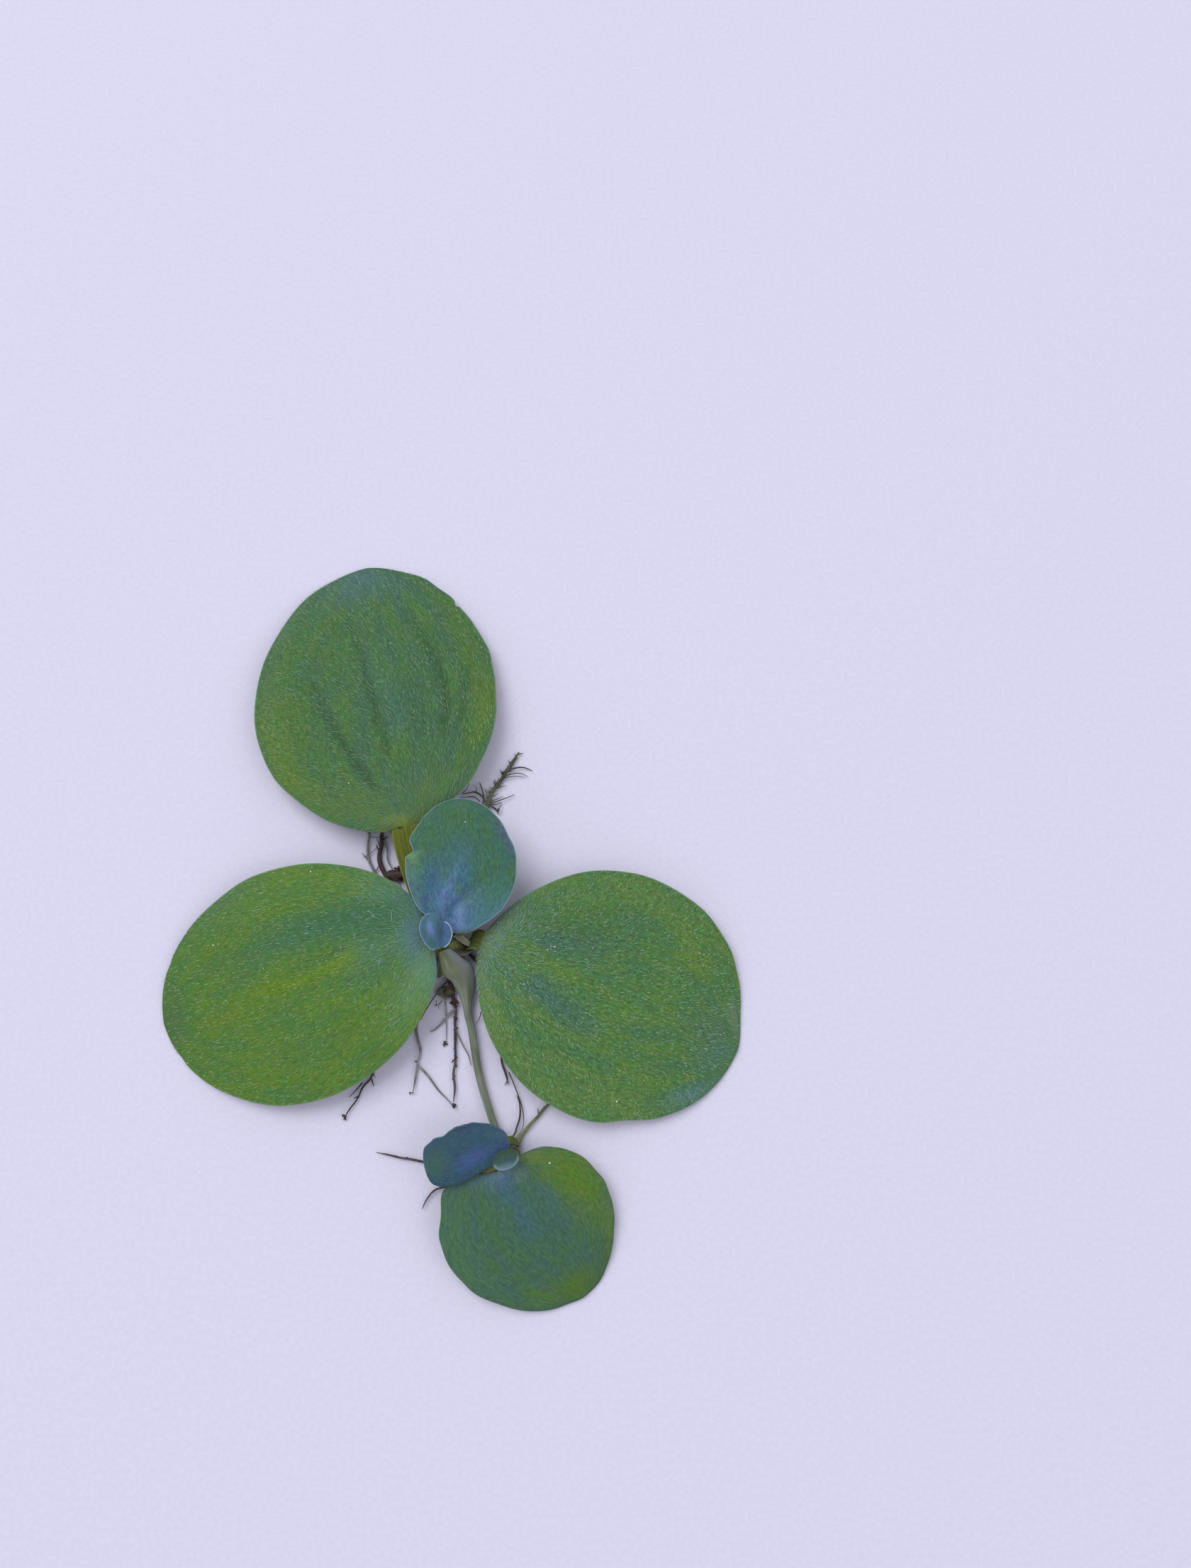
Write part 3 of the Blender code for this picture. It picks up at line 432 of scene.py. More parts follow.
def linear(code):
    """Turn an sRGB hex colour into linear RGBA."""
    parts = [int(code[i:i + 2], 16) / 255 for i in (1, 3, 5)]
    return (*[c / 12.92 if c <= 0.04045 else ((c + 0.055) / 1.055) ** 2.4 for c in parts], 1.0)


def node(tree, kind, inputs, out=0, **settings):
    """Add a node with its settings and links, and return one of its outputs.

    `inputs` gives its sockets a number, a colour as hex code, or another node's output.
    """
    made = tree.nodes.new("ShaderNode" + kind)
    for name, value in settings.items():
        setattr(made, name, value)
    for name, value in inputs.items():
        if isinstance(value, bpy.types.NodeSocket):
            tree.links.new(value, made.inputs[name])
        else:
            made.inputs[name].default_value = linear(value) if isinstance(value, str) else value
    return made.outputs[out] if made.outputs else made


# ---- finishes

def start_finish(name, surface):
    """Start a material; return it, its node tree, its shader and the place on the object."""
    material = bpy.data.materials.new(name)
    material.use_nodes = True
    tree = material.node_tree
    tree.nodes.clear()
    shader = node(tree, "BsdfPrincipled", surface)
    node(tree, "OutputMaterial", {"Surface": shader})
    return material, tree, shader.node, node(tree, "TexCoord", {}, "Object")


def end_finish(material, shader, colour, height, depth):
    """Give the shader its colour and a relief, `depth` millimetres from the height's 0 to its 1."""
    tree = material.node_tree
    tree.links.new(colour, shader.inputs["Base Color"])
    tree.links.new(node(tree, "Bump", {"Height": height, "Distance": depth * MM}), shader.inputs["Normal"])
    return material


def stain(tree, colour, tone, value, start, end, strength=1.0):
    """Lay a tone over a colour: none of it where a value is at `start`, `strength` at `end`."""
    share = node(tree, "MapRange", {0: value, 1: start, 2: end, 3: 0.0, 4: strength},
                 interpolation_type="SMOOTHSTEP")
    return node(tree, "Mix", {0: share, 6: colour, 7: tone}, 2, data_type="RGBA")


def leaf_flesh(name, leaf, look):
    """Leaf blade: spongy green tissue, grown with a velvet of papillae, so matt and soft at the rim."""
    fresh, deep, base, margin = look["tones"]
    material, tree, shader, place = start_finish(name, {
        "Roughness": 0.65, "IOR": 1.4, "Specular IOR Level": 0.3, "Subsurface Weight": 0.1,
        "Subsurface Scale": 0.4 * MM, "Subsurface Radius": (0.6, 1.0, 0.35),
        "Sheen Weight": 0.04, "Sheen Roughness": 0.5, "Sheen Tint": "#cfe0dc"})
    blade = node(tree, "Attribute", {}, "Vector", attribute_name="blade")
    folds = node(tree, "Attribute", {}, "Vector", attribute_name="folds")
    folds = [node(tree, "SeparateXYZ", {0: folds}, kind) for kind in (SHADED_FURROW, PALE, BAND)]
    upper = node(tree, "Attribute", {}, "Fac", attribute_name="upper")
    reach, rim = (node(tree, "SeparateXYZ", {0: blade}, axis) for axis in (0, 2))
    # the tints' edges waver by about a millimetre
    sway = node(tree, "TexNoise", {"Vector": place, "Scale": PER_MM / 5, "Detail": 3.0}, "Color")
    sway = node(tree, "VectorMath", {0: sway, 1: (0.12, 0.22, 0.0), 2: (-0.06, -0.11, 0.0)},
                operation="MULTIPLY_ADD")
    swayed = node(tree, "VectorMath", {0: blade, 1: sway}, operation="ADD")

    # the two greens lie in lengthwise streaks, about a fifth of the blade long
    streaks = node(tree, "VectorMath", {0: blade, 1: (5.0, 6.0, 0.0)}, operation="MULTIPLY")
    patch = node(tree, "TexNoise", {"Vector": streaks, "Scale": 1.0, "Detail": 4.0, "Roughness": 0.6})
    colour = stain(tree, deep, fresh, patch, 0.36, 0.64)
    colour = stain(tree, colour, base, node(tree, "SeparateXYZ", {0: swayed}), look["base_end"], 0.0, 0.9)
    for along, across, long, broad, tone, strength in look["tints"]:
        away = node(tree, "VectorMath", {
            0: swayed, 1: (1 / long, 1 / broad, 0.0), 2: (-along / long, -across / broad, 0.0)},
            operation="MULTIPLY_ADD")
        away = node(tree, "VectorMath", {0: away}, "Value", operation="LENGTH")
        colour = stain(tree, colour, tone, away, 1.25, 0.1, strength)
    # fold tones: painted shade in the furrows, painted light with paler tissue on the ridges, colour bands
    for fold, tone in zip(folds, look["fold_tones"]):
        colour = stain(tree, colour, tone, fold, 0.0, 1.0)

    # air spaces about 0.8 mm across show through, yellower or bluer; papillae are painted lighter or
    # darker in short lengthwise dashes, 0.5 mm long and 0.25 mm apart: painted light on the papillae and
    # shade between them
    cells = node(tree, "TexNoise", {"Vector": place, "Scale": PER_MM / 0.8, "Detail": 1.0})
    dashes = node(tree, "VectorMath", {
        0: blade, 1: (leaf["length"] / 0.5, leaf["widths"][0] / 0.25, 0.0)}, operation="MULTIPLY")
    papillae = node(tree, "TexNoise", {"Vector": dashes, "Scale": 1.0, "Detail": 2.0, "Roughness": 0.7})
    hue, saturation = look["cast"]
    hue = node(tree, "MapRange", {0: cells, 1: 0.3, 2: 0.7, 3: hue - 0.015, 4: hue + 0.015})
    # painted light and shade of the papillae, between the look's darkest and lightest value
    value = node(tree, "MapRange", {0: papillae, 1: 0.3, 2: 0.7, 3: look["value"][0], 4: look["value"][1]})
    colour = node(tree, "HueSaturation", {
        "Hue": hue, "Saturation": saturation, "Value": value, "Color": colour})
    # the rim tone is painted light caught along the wet edge; on daughter_leaf_large a painted shadow line
    rim_breadth, rim_strength, _ = look["rim"]
    colour = stain(tree, colour, margin, rim, rim_breadth, 0.01, rim_strength)
    # the stalk is bare and olive, with pale lengthwise strings
    strings = node(tree, "VectorMath", {0: blade, 1: (1.2, 7.0, 0.0)}, operation="MULTIPLY")
    strings = node(tree, "TexNoise", {"Vector": strings, "Scale": 1.0, "Detail": 2.0})
    stalk = stain(tree, *look["stalk_tones"], strings, 0.4, 0.75)
    colour = stain(tree, colour, stalk, reach, 0.05, -0.03)
    below = stain(tree, "#7f9878", "#9bb08f", patch, 0.3, 0.7)
    colour = stain(tree, colour, below, upper, 0.25, -0.4)
    return end_finish(material, shader, colour, papillae, 0.05)


def down_finish(name, light, dark, by_base):
    """Leaf hairs: thin clear cells that gather light, so paler than the leaf, and bluish at its base.

    A painted glint makes some hairs brighter than the rest.
    """
    material, tree, shader, place = start_finish(name, {
        "Roughness": 0.45, "IOR": 1.45, "Sheen Weight": 0.1, "Sheen Roughness": 0.4})
    fibre = node(tree, "TexNoise", {"Vector": place, "Scale": PER_MM / 0.05, "Detail": 1.0})
    reach, painted_glint = (node(tree, "Attribute", {}, "Fac", attribute_name=kind) for kind in ("reach", "painted_glint"))
    # each hair is painted lighter by its glint, for the light it catches
    colour = stain(tree, dark, light, painted_glint, 0.0, 1.0)
    colour = stain(tree, colour, by_base, reach, 0.26, 0.02, 0.9)
    return end_finish(material, shader, colour, fibre, 0.005)


def crown_tissue():
    """Crown: wet olive stem tissue, smooth with a film of moisture, so it has small highlights."""
    material, tree, shader, place = start_finish("crown_tissue", {
        "Roughness": 0.45, "IOR": 1.4, "Coat Weight": 0.5, "Coat Roughness": 0.15,
        "Subsurface Weight": 0.15, "Subsurface Scale": 0.4 * MM, "Subsurface Radius": (0.8, 1.0, 0.3)})
    patch = node(tree, "TexNoise", {"Vector": place, "Scale": PER_MM / 1.2, "Detail": 3.0})
    fibre = node(tree, "TexNoise", {"Vector": place, "Scale": PER_MM / 0.3, "Detail": 2.0})
    colour = stain(tree, "#3f4219", "#626b2c", patch, 0.35, 0.65)
    colour = stain(tree, colour, "#8c8c52", fibre, 0.52, 0.75, 0.4)
    return end_finish(material, shader, colour, fibre, 0.06)


def stolon_skin():
    """Stolon: a soft watery runner, half see-through, greyish olive with lengthwise streaks."""
    material, tree, shader, place = start_finish("stolon_skin", {
        "Roughness": 0.38, "IOR": 1.38, "Coat Weight": 0.25, "Coat Roughness": 0.2,
        "Subsurface Weight": 0.3, "Subsurface Scale": 0.5 * MM, "Subsurface Radius": (0.9, 1.0, 0.7)})
    strand = node(tree, "Attribute", {}, "Vector", attribute_name="strand")
    along, side = (node(tree, "SeparateXYZ", {0: strand}, axis) for axis in (0, 2))
    # streaks are about 0.15 mm broad and 4 mm long
    streaks = node(tree, "VectorMath", {0: strand, 1: (0.25, 9.0, 0.0)}, operation="MULTIPLY")
    streak = node(tree, "TexNoise", {"Vector": streaks, "Scale": 1.0, "Detail": 2.0})
    patch = node(tree, "TexNoise", {"Vector": place, "Scale": PER_MM / 1.5, "Detail": 2.0})
    colour = stain(tree, "#656e5c", "#737b6a", patch, 0.35, 0.65)
    colour = stain(tree, colour, "#69744c", along, 3.5, 0.5, 0.85)
    colour = stain(tree, colour, "#8e9884", streak, 0.48, 0.7, 0.7)
    colour = stain(tree, colour, "#4d573f", streak, 0.48, 0.28, 0.5)
    # its right side thins out to a pale veil where it leaves the crown
    veil = node(tree, "Math", {0: along, 1: -0.2, 2: side}, operation="MULTIPLY_ADD")
    colour = stain(tree, colour, "#727b86", veil, -0.5, 0.5, 0.75)
    return end_finish(material, shader, colour, streak, 0.08)


def sheath_membrane(name, thick, thin):
    """Sheath: a thin wet skin around the youngest leaves, olive and whitish at its edge.

    In dark brown the same finish is the painted shade of the crescent by the crown.
    """
    material, tree, shader, place = start_finish(name, {
        "Roughness": 0.35, "IOR": 1.38, "Coat Weight": 0.4, "Coat Roughness": 0.15,
        "Subsurface Weight": 0.25, "Subsurface Scale": 0.4 * MM, "Subsurface Radius": (0.9, 1.0, 0.6)})
    strand = node(tree, "Attribute", {}, "Vector", attribute_name="strand")
    edge = node(tree, "Math", {0: node(tree, "SeparateXYZ", {0: strand}, 2)}, operation="ABSOLUTE")
    patch = node(tree, "TexNoise", {"Vector": place, "Scale": PER_MM / 0.8, "Detail": 2.0})
    colour = stain(tree, thick, thin, patch, 0.35, 0.65)
    colour = stain(tree, colour, "#b4b6c8", edge, 0.8, 1.0, 0.9)
    return end_finish(material, shader, colour, patch, 0.04)


def root_skin(name, light, dark, bloom):
    """Root: a dull soft strand, clear where young and brown where old, with a pale scurf."""
    material, tree, shader, place = start_finish(name, {
        "Roughness": 0.6, "IOR": 1.4, "Subsurface Weight": 0.15, "Subsurface Scale": 0.3 * MM,
        "Subsurface Radius": (0.9, 0.8, 0.5)})
    stretch = node(tree, "TexNoise", {
        "Vector": place, "Scale": PER_MM / 2.4, "Detail": 3.0, "Roughness": 0.6})
    grain = node(tree, "TexNoise", {"Vector": place, "Scale": PER_MM / 0.18, "Detail": 2.0})
    colour = stain(tree, light, dark, stretch, 0.42, 0.58)
    colour = stain(tree, colour, bloom, grain, 0.55, 0.8, 0.5)
    return end_finish(material, shader, colour, grain, 0.05)


def peat_crumbs():
    """Crumbs of peat and rotted leaf that stick to the roots: rough, dark red-brown."""
    material, tree, shader, place = start_finish("peat_crumbs", {"Roughness": 0.8, "IOR": 1.45})
    grain = node(tree, "TexNoise", {"Vector": place, "Scale": PER_MM / 0.15, "Detail": 3.0, "Roughness": 0.7})
    colour = stain(tree, "#281d1b", "#4c382e", grain, 0.35, 0.65)
    return end_finish(material, shader, colour, grain, 0.05)


def glint_specks():
    """Specks on the leaves: tiny whitish grains, smooth enough to glint, that stand in for glints of light.
    """
    material, tree, shader, place = start_finish("glint_specks", {
        "Roughness": 0.25, "IOR": 1.5, "Coat Weight": 0.5})
    grain = node(tree, "TexNoise", {"Vector": place, "Scale": PER_MM / 0.06, "Detail": 1.0})
    colour = stain(tree, "#b9c4dc", "#f4f6fa", grain, 0.35, 0.6)
    return end_finish(material, shader, colour, grain, 0.01)


def pale_card():
    """Floor: smooth uncoated card, pale, with a faint tooth of about 0.4 mm."""
    material, tree, shader, place = start_finish("pale_card", {"Roughness": 0.85, "IOR": 1.45})
    tooth = node(tree, "TexNoise", {"Vector": place, "Scale": PER_MM / 0.4, "Detail": 3.0})
    colour = stain(tree, "#d3d1e6", "#d9d7ea", tooth, 0.2, 0.8)
    return end_finish(material, shader, colour, tooth, 0.01)


# ---- helpers for pieces

def add_piece(name, data, material, slot, *nodes):
    """Put mesh or curve data in the scene as a piece that rides on the plant."""
    piece = bpy.data.objects.new(name, data)
    bpy.context.scene.collection.objects.link(piece)
    data.materials.append(material)
    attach(piece, BODY)
    if nodes:
        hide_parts(*nodes)


def mesh_points(mesh):
    """Return a mesh's points as an array."""
    points = np.empty(len(mesh.vertices) * 3)
    mesh.vertices.foreach_get("co", points)
    return points.reshape(-1, 3)


def write_attribute(mesh, name, values):
    """Write one number or one vector a vertex into the mesh."""
    kind, field = ("FLOAT_VECTOR", "vector") if values.ndim == 2 else ("FLOAT", "value")
    mesh.attributes.new(name, kind, "POINT").data.foreach_set(field, values.astype(np.float32).ravel())


def mesh_of(name, shape):
    """Make a mesh of a bmesh and free the bmesh."""
    mesh = bpy.data.meshes.new(name)
    shape.to_mesh(mesh)
    shape.free()
    return mesh


def mesh_from(name, points, faces):
    """Make a smooth mesh from points in millimetres and faces."""
    mesh = bpy.data.meshes.new(name)
    mesh.from_pydata((points * MM).tolist(), [], faces)
    mesh.shade_smooth()
    return mesh


def unit(vectors):
    """Return the vectors at length 1."""
    return vectors / np.maximum(np.linalg.norm(vectors, axis=-1, keepdims=True), 1e-9)


def smooth_route(knots, spacing):
    """Return points of a smooth curve through the knots, about `spacing` apart."""
    knots = np.asarray(knots, float)
    ends = np.concatenate([2 * knots[:1] - knots[1:2], knots, 2 * knots[-1:] - knots[-2:-1]])
    made = []
    for before, here, there, after in zip(ends, ends[1:], ends[2:], ends[3:]):
        count = max(2, round(np.linalg.norm((there - here)[:3]) / spacing))
        t = np.arange(count)[:, None] / count
        made.append(0.5 * (
            2 * here + (there - before) * t + (2 * before - 5 * here + 4 * there - after) * t ** 2
            + (3 * here - before - 3 * there + after) * t ** 3))
    return np.concatenate([*made, knots[-1:]])


# ---- leaves

def leaf_plan(leaf):
    """Return the direction of the blade and, to its left, the direction across it."""
    angle = math.radians(leaf["azimuth"])
    along = np.array((math.cos(angle), math.sin(angle), 0.0))
    across = np.array((-math.sin(angle), math.cos(angle), 0.0))
    return along, across


def reach_at(turn):
    """Return how far along the blade turns from 0 to 1 are; they are closer at its base and tip."""
    return (1 - np.cos(np.pi * turn)) / 2


def turn_at(reach):
    """Return the turns of places along the blade."""
    return np.arccos(1 - 2 * reach) / np.pi


def blade_outline(leaf, reach):
    """Return the blade's breadth at its reaches, as a share of its full breadth."""
    pinch = leaf["pinch"][0] + (leaf["pinch"][1] - leaf["pinch"][0]) * reach
    return (2 * np.sqrt(np.maximum(reach * (1 - reach), 0.0))) ** pinch * (1 - leaf["skew"] * (1 - 2 * reach))


def leaf_middle(leaf, turn):
    """Return points of the upper face's middle line: -1 at the root, 0 at the base, 1 at the tip."""
    along, across = leaf_plan(leaf)
    root_height, base_height, tip_height = leaf["heights"]
    root = np.array((*leaf["root"], root_height))
    base = np.array((*leaf["base"], base_height))
    guide = base - along * np.linalg.norm(base - root) / 2
    share = np.clip(turn + 1, 0, 1)[:, None]
    stalk = root * (1 - share) ** 2 + guide * 2 * share * (1 - share) + base * share ** 2
    reach = reach_at(np.maximum(turn, 0))[:, None]
    hump = 4 * reach * (1 - reach)
    rise = (tip_height - base_height) * reach + leaf["arch"] * hump
    blade = base + along * leaf["length"] * reach + across * leaf["bend"] * hump + UP * rise
    return np.where(turn[:, None] > 0, blade, stalk)


def margin_swell(leaf, points, reach):
    """Return how far the blade's swelling moves its points outwards from its middle."""
    along, across = leaf_plan(leaf)
    middle = np.array((*leaf["base"], 0.0)) + along * leaf["length"] / 2
    forward, left = (points - middle) @ along, (points - middle) @ across
    away = np.hypot(forward, left)
    steps = 360 // SWELL_STEP
    place = np.degrees(np.arctan2(left, forward)) / SWELL_STEP % steps
    share = (1 - np.cos(np.pi * (place % 1))) / 2
    swell = np.array([leaf["swell"].get(step * SWELL_STEP, 0.0) for step in range(steps)])
    here, there = swell[place.astype(int) % steps], swell[(place.astype(int) + 1) % steps]
    radius = (leaf["length"] + sum(leaf["widths"])) / 4
    moved = (here + (there - here) * share) * (away / radius) ** 2 * np.minimum(1.0, 10 * reach)
    return (along * forward[:, None] + across * left[:, None]) * (moved / np.maximum(away, 0.001))[:, None]


def fold_nearness(name, reach, sideways):
    """Return how near points are to each kind of fold (1 on it), and how deep it makes the face."""
    leaf = LEAVES[name]
    near, depth = np.zeros((len(reach), 3)), np.zeros(len(reach))
    here = np.stack([reach * leaf["length"], sideways], axis=1)
    for kind, breadth, deep, strength, route in LOOKS[name]["folds"]:
        knots = np.array(route)
        half = np.where(knots[:, 1] > 0, *leaf["widths"]) * blade_outline(leaf, knots[:, 0])
        knots = np.stack([knots[:, 0] * leaf["length"], knots[:, 1] * half], axis=1)
        line = smooth_route(knots, FOLD_STEP)
        share = np.linspace(0, 1, len(line))
        fade = np.minimum(1.0, 8 * share) * (1 - share ** 3)
        apart = ((here[:, None] - line[None]) ** 2).sum(-1)
        nearest = apart.argmin(1)
        closeness = np.exp(-apart[np.arange(len(here)), nearest] / breadth ** 2) * fade[nearest]
        near[:, kind] = np.maximum(near[:, kind], strength * closeness)
        depth += deep * closeness
    return near, depth


def leaf_skin(name, turn, across_share, face):
    """Return points of a leaf's skin, their reach along the blade and their nearness to its folds.

    turn runs from -1 at the root over 0 at the blade's base to 1 at the tip, across_share from
    -1 at the right margin to 1 at the left one, and face is 1 above and -1 below.
    """
    leaf, look = LEAVES[name], LOOKS[name]
    along, across = leaf_plan(leaf)
    blade_turn = np.maximum(turn, 0.0)
    reach = reach_at(blade_turn)
    near_base = (1 - reach) ** 2
    outline = blade_outline(leaf, reach)
    left = across_share > 0
    width = np.where(left, *leaf["widths"]) * outline
    for nick_reach, hand, depth, to_base, to_tip in leaf["nicks"]:
        off = reach - nick_reach
        bitten = depth * np.exp(-(off / np.where(off < 0, to_base, to_tip)) ** 2)
        width = width - np.where(left == (hand == 0), bitten, 0.0)
    ragged = sum(np.sin(rate * blade_turn + np.where(left, *phases))
                 for rate, phases in ((23, (0.0, 2.0)), (41, (1.0, 4.0))))
    width = width + RAGGED * min(1.0, leaf["length"] / 10) * ragged * outline
    half_width = np.hypot(width, leaf["stalk"] * near_base)
    shoulder = np.where(left, *leaf["lobes"]) * near_base * np.sin(np.pi * np.minimum(2 * blade_turn, 1))
    backwards = shoulder * np.abs(across_share) ** 1.5
    sideways, lift = across_share * half_width, np.zeros_like(half_width)
    near, fold = fold_nearness(name, reach, sideways)
    if leaf["cup"]:
        spread = math.radians(leaf["cup"]) / 2
        sideways = half_width * np.sin(across_share * spread) / math.sin(min(spread, math.pi / 2))
        lift = half_width * (1 - np.cos(across_share * spread)) / spread
    ripple = np.sin(3 * np.pi * blade_turn + np.copysign(1, across_share))
    edge = across_share ** 2 * outline * (leaf["wave"] * ripple - leaf["droop"])
    blunt = np.sqrt(np.maximum(0.0, 1 - across_share ** 2)) ** ROUNDING
    top = MARGIN / 2 * (blunt - 1) - fold * blunt
    belly = leaf["belly"] * (1 - across_share ** 2) * near_base * blunt
    ribs = look["ribs"] * near.max(1) * (1 - reach) * blunt
    bottom = -MARGIN / 2 * (blunt + 1) - belly - ribs
    points = leaf_middle(leaf, turn) + across * sideways[:, None] - along * backwards[:, None]
    points = points + margin_swell(leaf, points, reach)
    points[:, 2] = np.maximum(0.0, points[:, 2] + lift + edge + np.where(face > 0, top, bottom))
    return points, reach, near


def rim_distance(name, points):
    """Return how far points lie from the blade's margin in plan, in millimetres."""
    turn = np.linspace(0.02, 0.999, 400)
    above = np.ones_like(turn)
    rim = np.concatenate([leaf_skin(name, turn, hand * above, above)[0][:, :2] for hand in (-1.0, 1.0)])
    parts = np.array_split(points, 1 + len(points) // 4000)     # a few at a time, to spare memory
    return np.concatenate([np.sqrt(((part[:, None, :2] - rim[None]) ** 2).sum(-1).min(1)) for part in parts])


def make_leaf(name):
    """Shape a sphere into a stalk and a blade, and mark where on the leaf each point is."""
    leaf, look = LEAVES[name], LOOKS[name]
    blade_rings, sides = look["mesh"]
    stalk_rings = max(1, round(math.dist(leaf["root"], leaf["base"]) * STALK_RINGS))
    ring_count = stalk_rings + blade_rings
    shape = bmesh.new()
    bmesh.ops.create_uvsphere(shape, u_segments=sides, v_segments=ring_count, radius=1.0)
    mesh = mesh_of(name + "_blade", shape)
    ball = mesh_points(mesh)
    ring = np.rint(np.arccos(np.clip(-ball[:, 2], -1, 1)) / np.pi * ring_count)
    turn = (ring - stalk_rings) / np.where(ring <= stalk_rings, stalk_rings, blade_rings)
    if stalk_rings > 1:
        turn = np.where(ring == 1, FIRST_RING, turn)
    around = np.hypot(ball[:, 0], ball[:, 1])
    pole = (ring == 0) | (ring == ring_count)
    across_share = np.where(pole, 0.0, ball[:, 0] / np.maximum(around, 1e-9))
    face = np.where(ball[:, 1] >= -1e-6, 1.0, -1.0)
    points, reach, near = leaf_skin(name, turn, across_share, face)
    other, _, _ = leaf_skin(name, turn, across_share, -face)
    points = np.where(pole[:, None], (points + other) / 2, points)
    mesh.vertices.foreach_set("co", (points * MM).ravel())
    mesh.shade_smooth()
    mesh.update()
    # the painted rim light lies only on the side given in the look: the other side counts as far from the
    # margin
    side = look["rim"][2]
    rim = rim_distance(name, points) + np.clip(-3 * side * across_share, 0, 1)
    write_attribute(mesh, "blade", np.stack([np.where(turn > 0, reach, turn), across_share, rim], axis=1))
    write_attribute(mesh, "folds", near)
    write_attribute(mesh, "upper", np.where(pole, 0.0, ball[:, 1] / np.maximum(around, 1e-9)))
    add_piece(name + "_blade", mesh, leaf_flesh(name + "_flesh", leaf, look), look["slot"], name)


# ---- down, wool and specks

def spaced_over_blade(leaf, spacing, draw, span=(0.01, 0.985)):
    """Return places about `spacing` millimetres apart on a blade, as turns and shares across."""
    reaches, shares = [], []
    step = spacing / leaf["length"]
    for reach in np.arange(*span, step):
        breadth = sum(leaf["widths"]) * float(blade_outline(leaf, np.array(reach)))
        count = max(1, round(breadth / spacing))
        shares.append((np.arange(count) + draw.uniform(0, 1, count)) / count * 2 * HAIR_EDGE - HAIR_EDGE)
        reaches.append(reach + draw.uniform(-0.5, 0.5, count) * step)
    reach = np.clip(np.concatenate(reaches), 0.004, 0.99)
    return turn_at(reach), np.concatenate(shares)


def upper_face(name, turn, across_share):
    """Return points of a leaf's upper face and the directions that point straight up from it."""
    step = 0.004
    here, ahead, aside = (
        leaf_skin(name, turn + forth, across_share + left, np.ones_like(turn))[0]
        for forth, left in ((0.0, 0.0), (step, 0.0), (0.0, step)))
    ups = unit(np.cross(ahead - here, aside - here))
    return here, np.where(ups[:, 2:] < 0, -ups, ups)


def add_hairs(name, material, slot, roots, headings, ups, lengths, radii, bends, reach, painted_glint):
    """Grow three-sided tapering hairs on a blade as one piece.

    Each hair starts at its root and runs its length along its heading; `bends` says, for each joint
    of every hair, where it is (along the heading, sideways, up) in shares of the length. `reach` and
    `painted_glint`, how far along the blade it stands and how much painted glint it gets for the light it
    catches, are for its colour.
    """
    count, joints = len(roots), bends.shape[1]
    ways = np.stack([np.cos(headings), np.sin(headings), np.zeros(count)], axis=1)
    ways = unit(ways - ups * (ways * ups).sum(1, keepdims=True))
    sides = unit(np.cross(ups, ways))
    frames = np.stack([ways, sides, ups], axis=1)
    middles = roots[:, None] + np.einsum("hjk,hkc->hjc", bends * lengths[:, None, None], frames)
    middles = np.concatenate([roots[:, None], middles], axis=1)
    turns = np.arange(3) * 2 * np.pi / 3
    rings = np.cos(turns)[:, None, None] * sides + np.sin(turns)[:, None, None] * ups
    taper = np.linspace(1.0, 0.55, joints)
    thick = (radii[:, None] * taper[None])[:, :, None, None]
    body = middles[:, :joints, None] + thick * rings.transpose(1, 0, 2)[:, None]
    points = np.concatenate([body.reshape(count, joints * 3, 3), middles[:, joints:]], axis=1)
    faces = []
    for joint in range(joints - 1):
        for side in range(3):
            a, b = joint * 3 + side, joint * 3 + (side + 1) % 3
            faces += [(a, b, b + 3), (a, b + 3, a + 3)]
    last, tip = (joints - 1) * 3, joints * 3
    faces += [(last + side, last + (side + 1) % 3, tip) for side in range(3)]
    faces = np.array(faces)[None] + (np.arange(count) * points.shape[1])[:, None, None]
    per_hair = points.shape[1]
    points = points.reshape(-1, 3)
    points[:, 2] = np.maximum(points[:, 2], 0.0)
    mesh = mesh_from(name, points, faces.reshape(-1, 3).tolist())
    write_attribute(mesh, "reach", np.repeat(reach, per_hair))
    write_attribute(mesh, "painted_glint", np.repeat(painted_glint, per_hair))
    add_piece(name, mesh, material, slot)


def make_down(name, material, draw):
    """Cover a blade with short leaning hairs, longer by its base."""
    leaf, look = LEAVES[name], LOOKS[name]
    spacing, shortest, longest, radius = look["down"]
    lean, lean_across, tousle = look["lean"]
    turn, across_share = spaced_over_blade(leaf, spacing, draw)
    count = len(turn)
    roots, ups = upper_face(name, turn, across_share)
    reach = reach_at(turn)
    away = roots - np.array((*leaf["base"], 0.0))
    headings = np.arctan2(away[:, 1], away[:, 0])
    headings += np.radians(lean + lean_across * across_share + draw.normal(0, tousle, count))
    by_base = np.clip(1 - reach / 0.25, 0, 1)
    lengths = draw.uniform(shortest, longest, count) * (1 + 0.6 * by_base)
    bends = np.zeros((count, 2, 3))
    bends[:, :, 0] = (0.5, 1.0)
    bends[:, :, 1] = draw.normal(0, 0.07, (count, 2))
    bends[:, :, 2] = (0.2, 0.24)
    # a few hairs get a bright painted glint, most a dim one; the brighter ones are drawn thicker
    painted_glint = draw.uniform(0, 1, count) ** 2
    radii = radius * (0.75 + 0.5 * painted_glint)
    add_hairs(
        name + "_down", material, look["slot"], roots, headings, ups, lengths, radii, bends, reach, painted_glint)


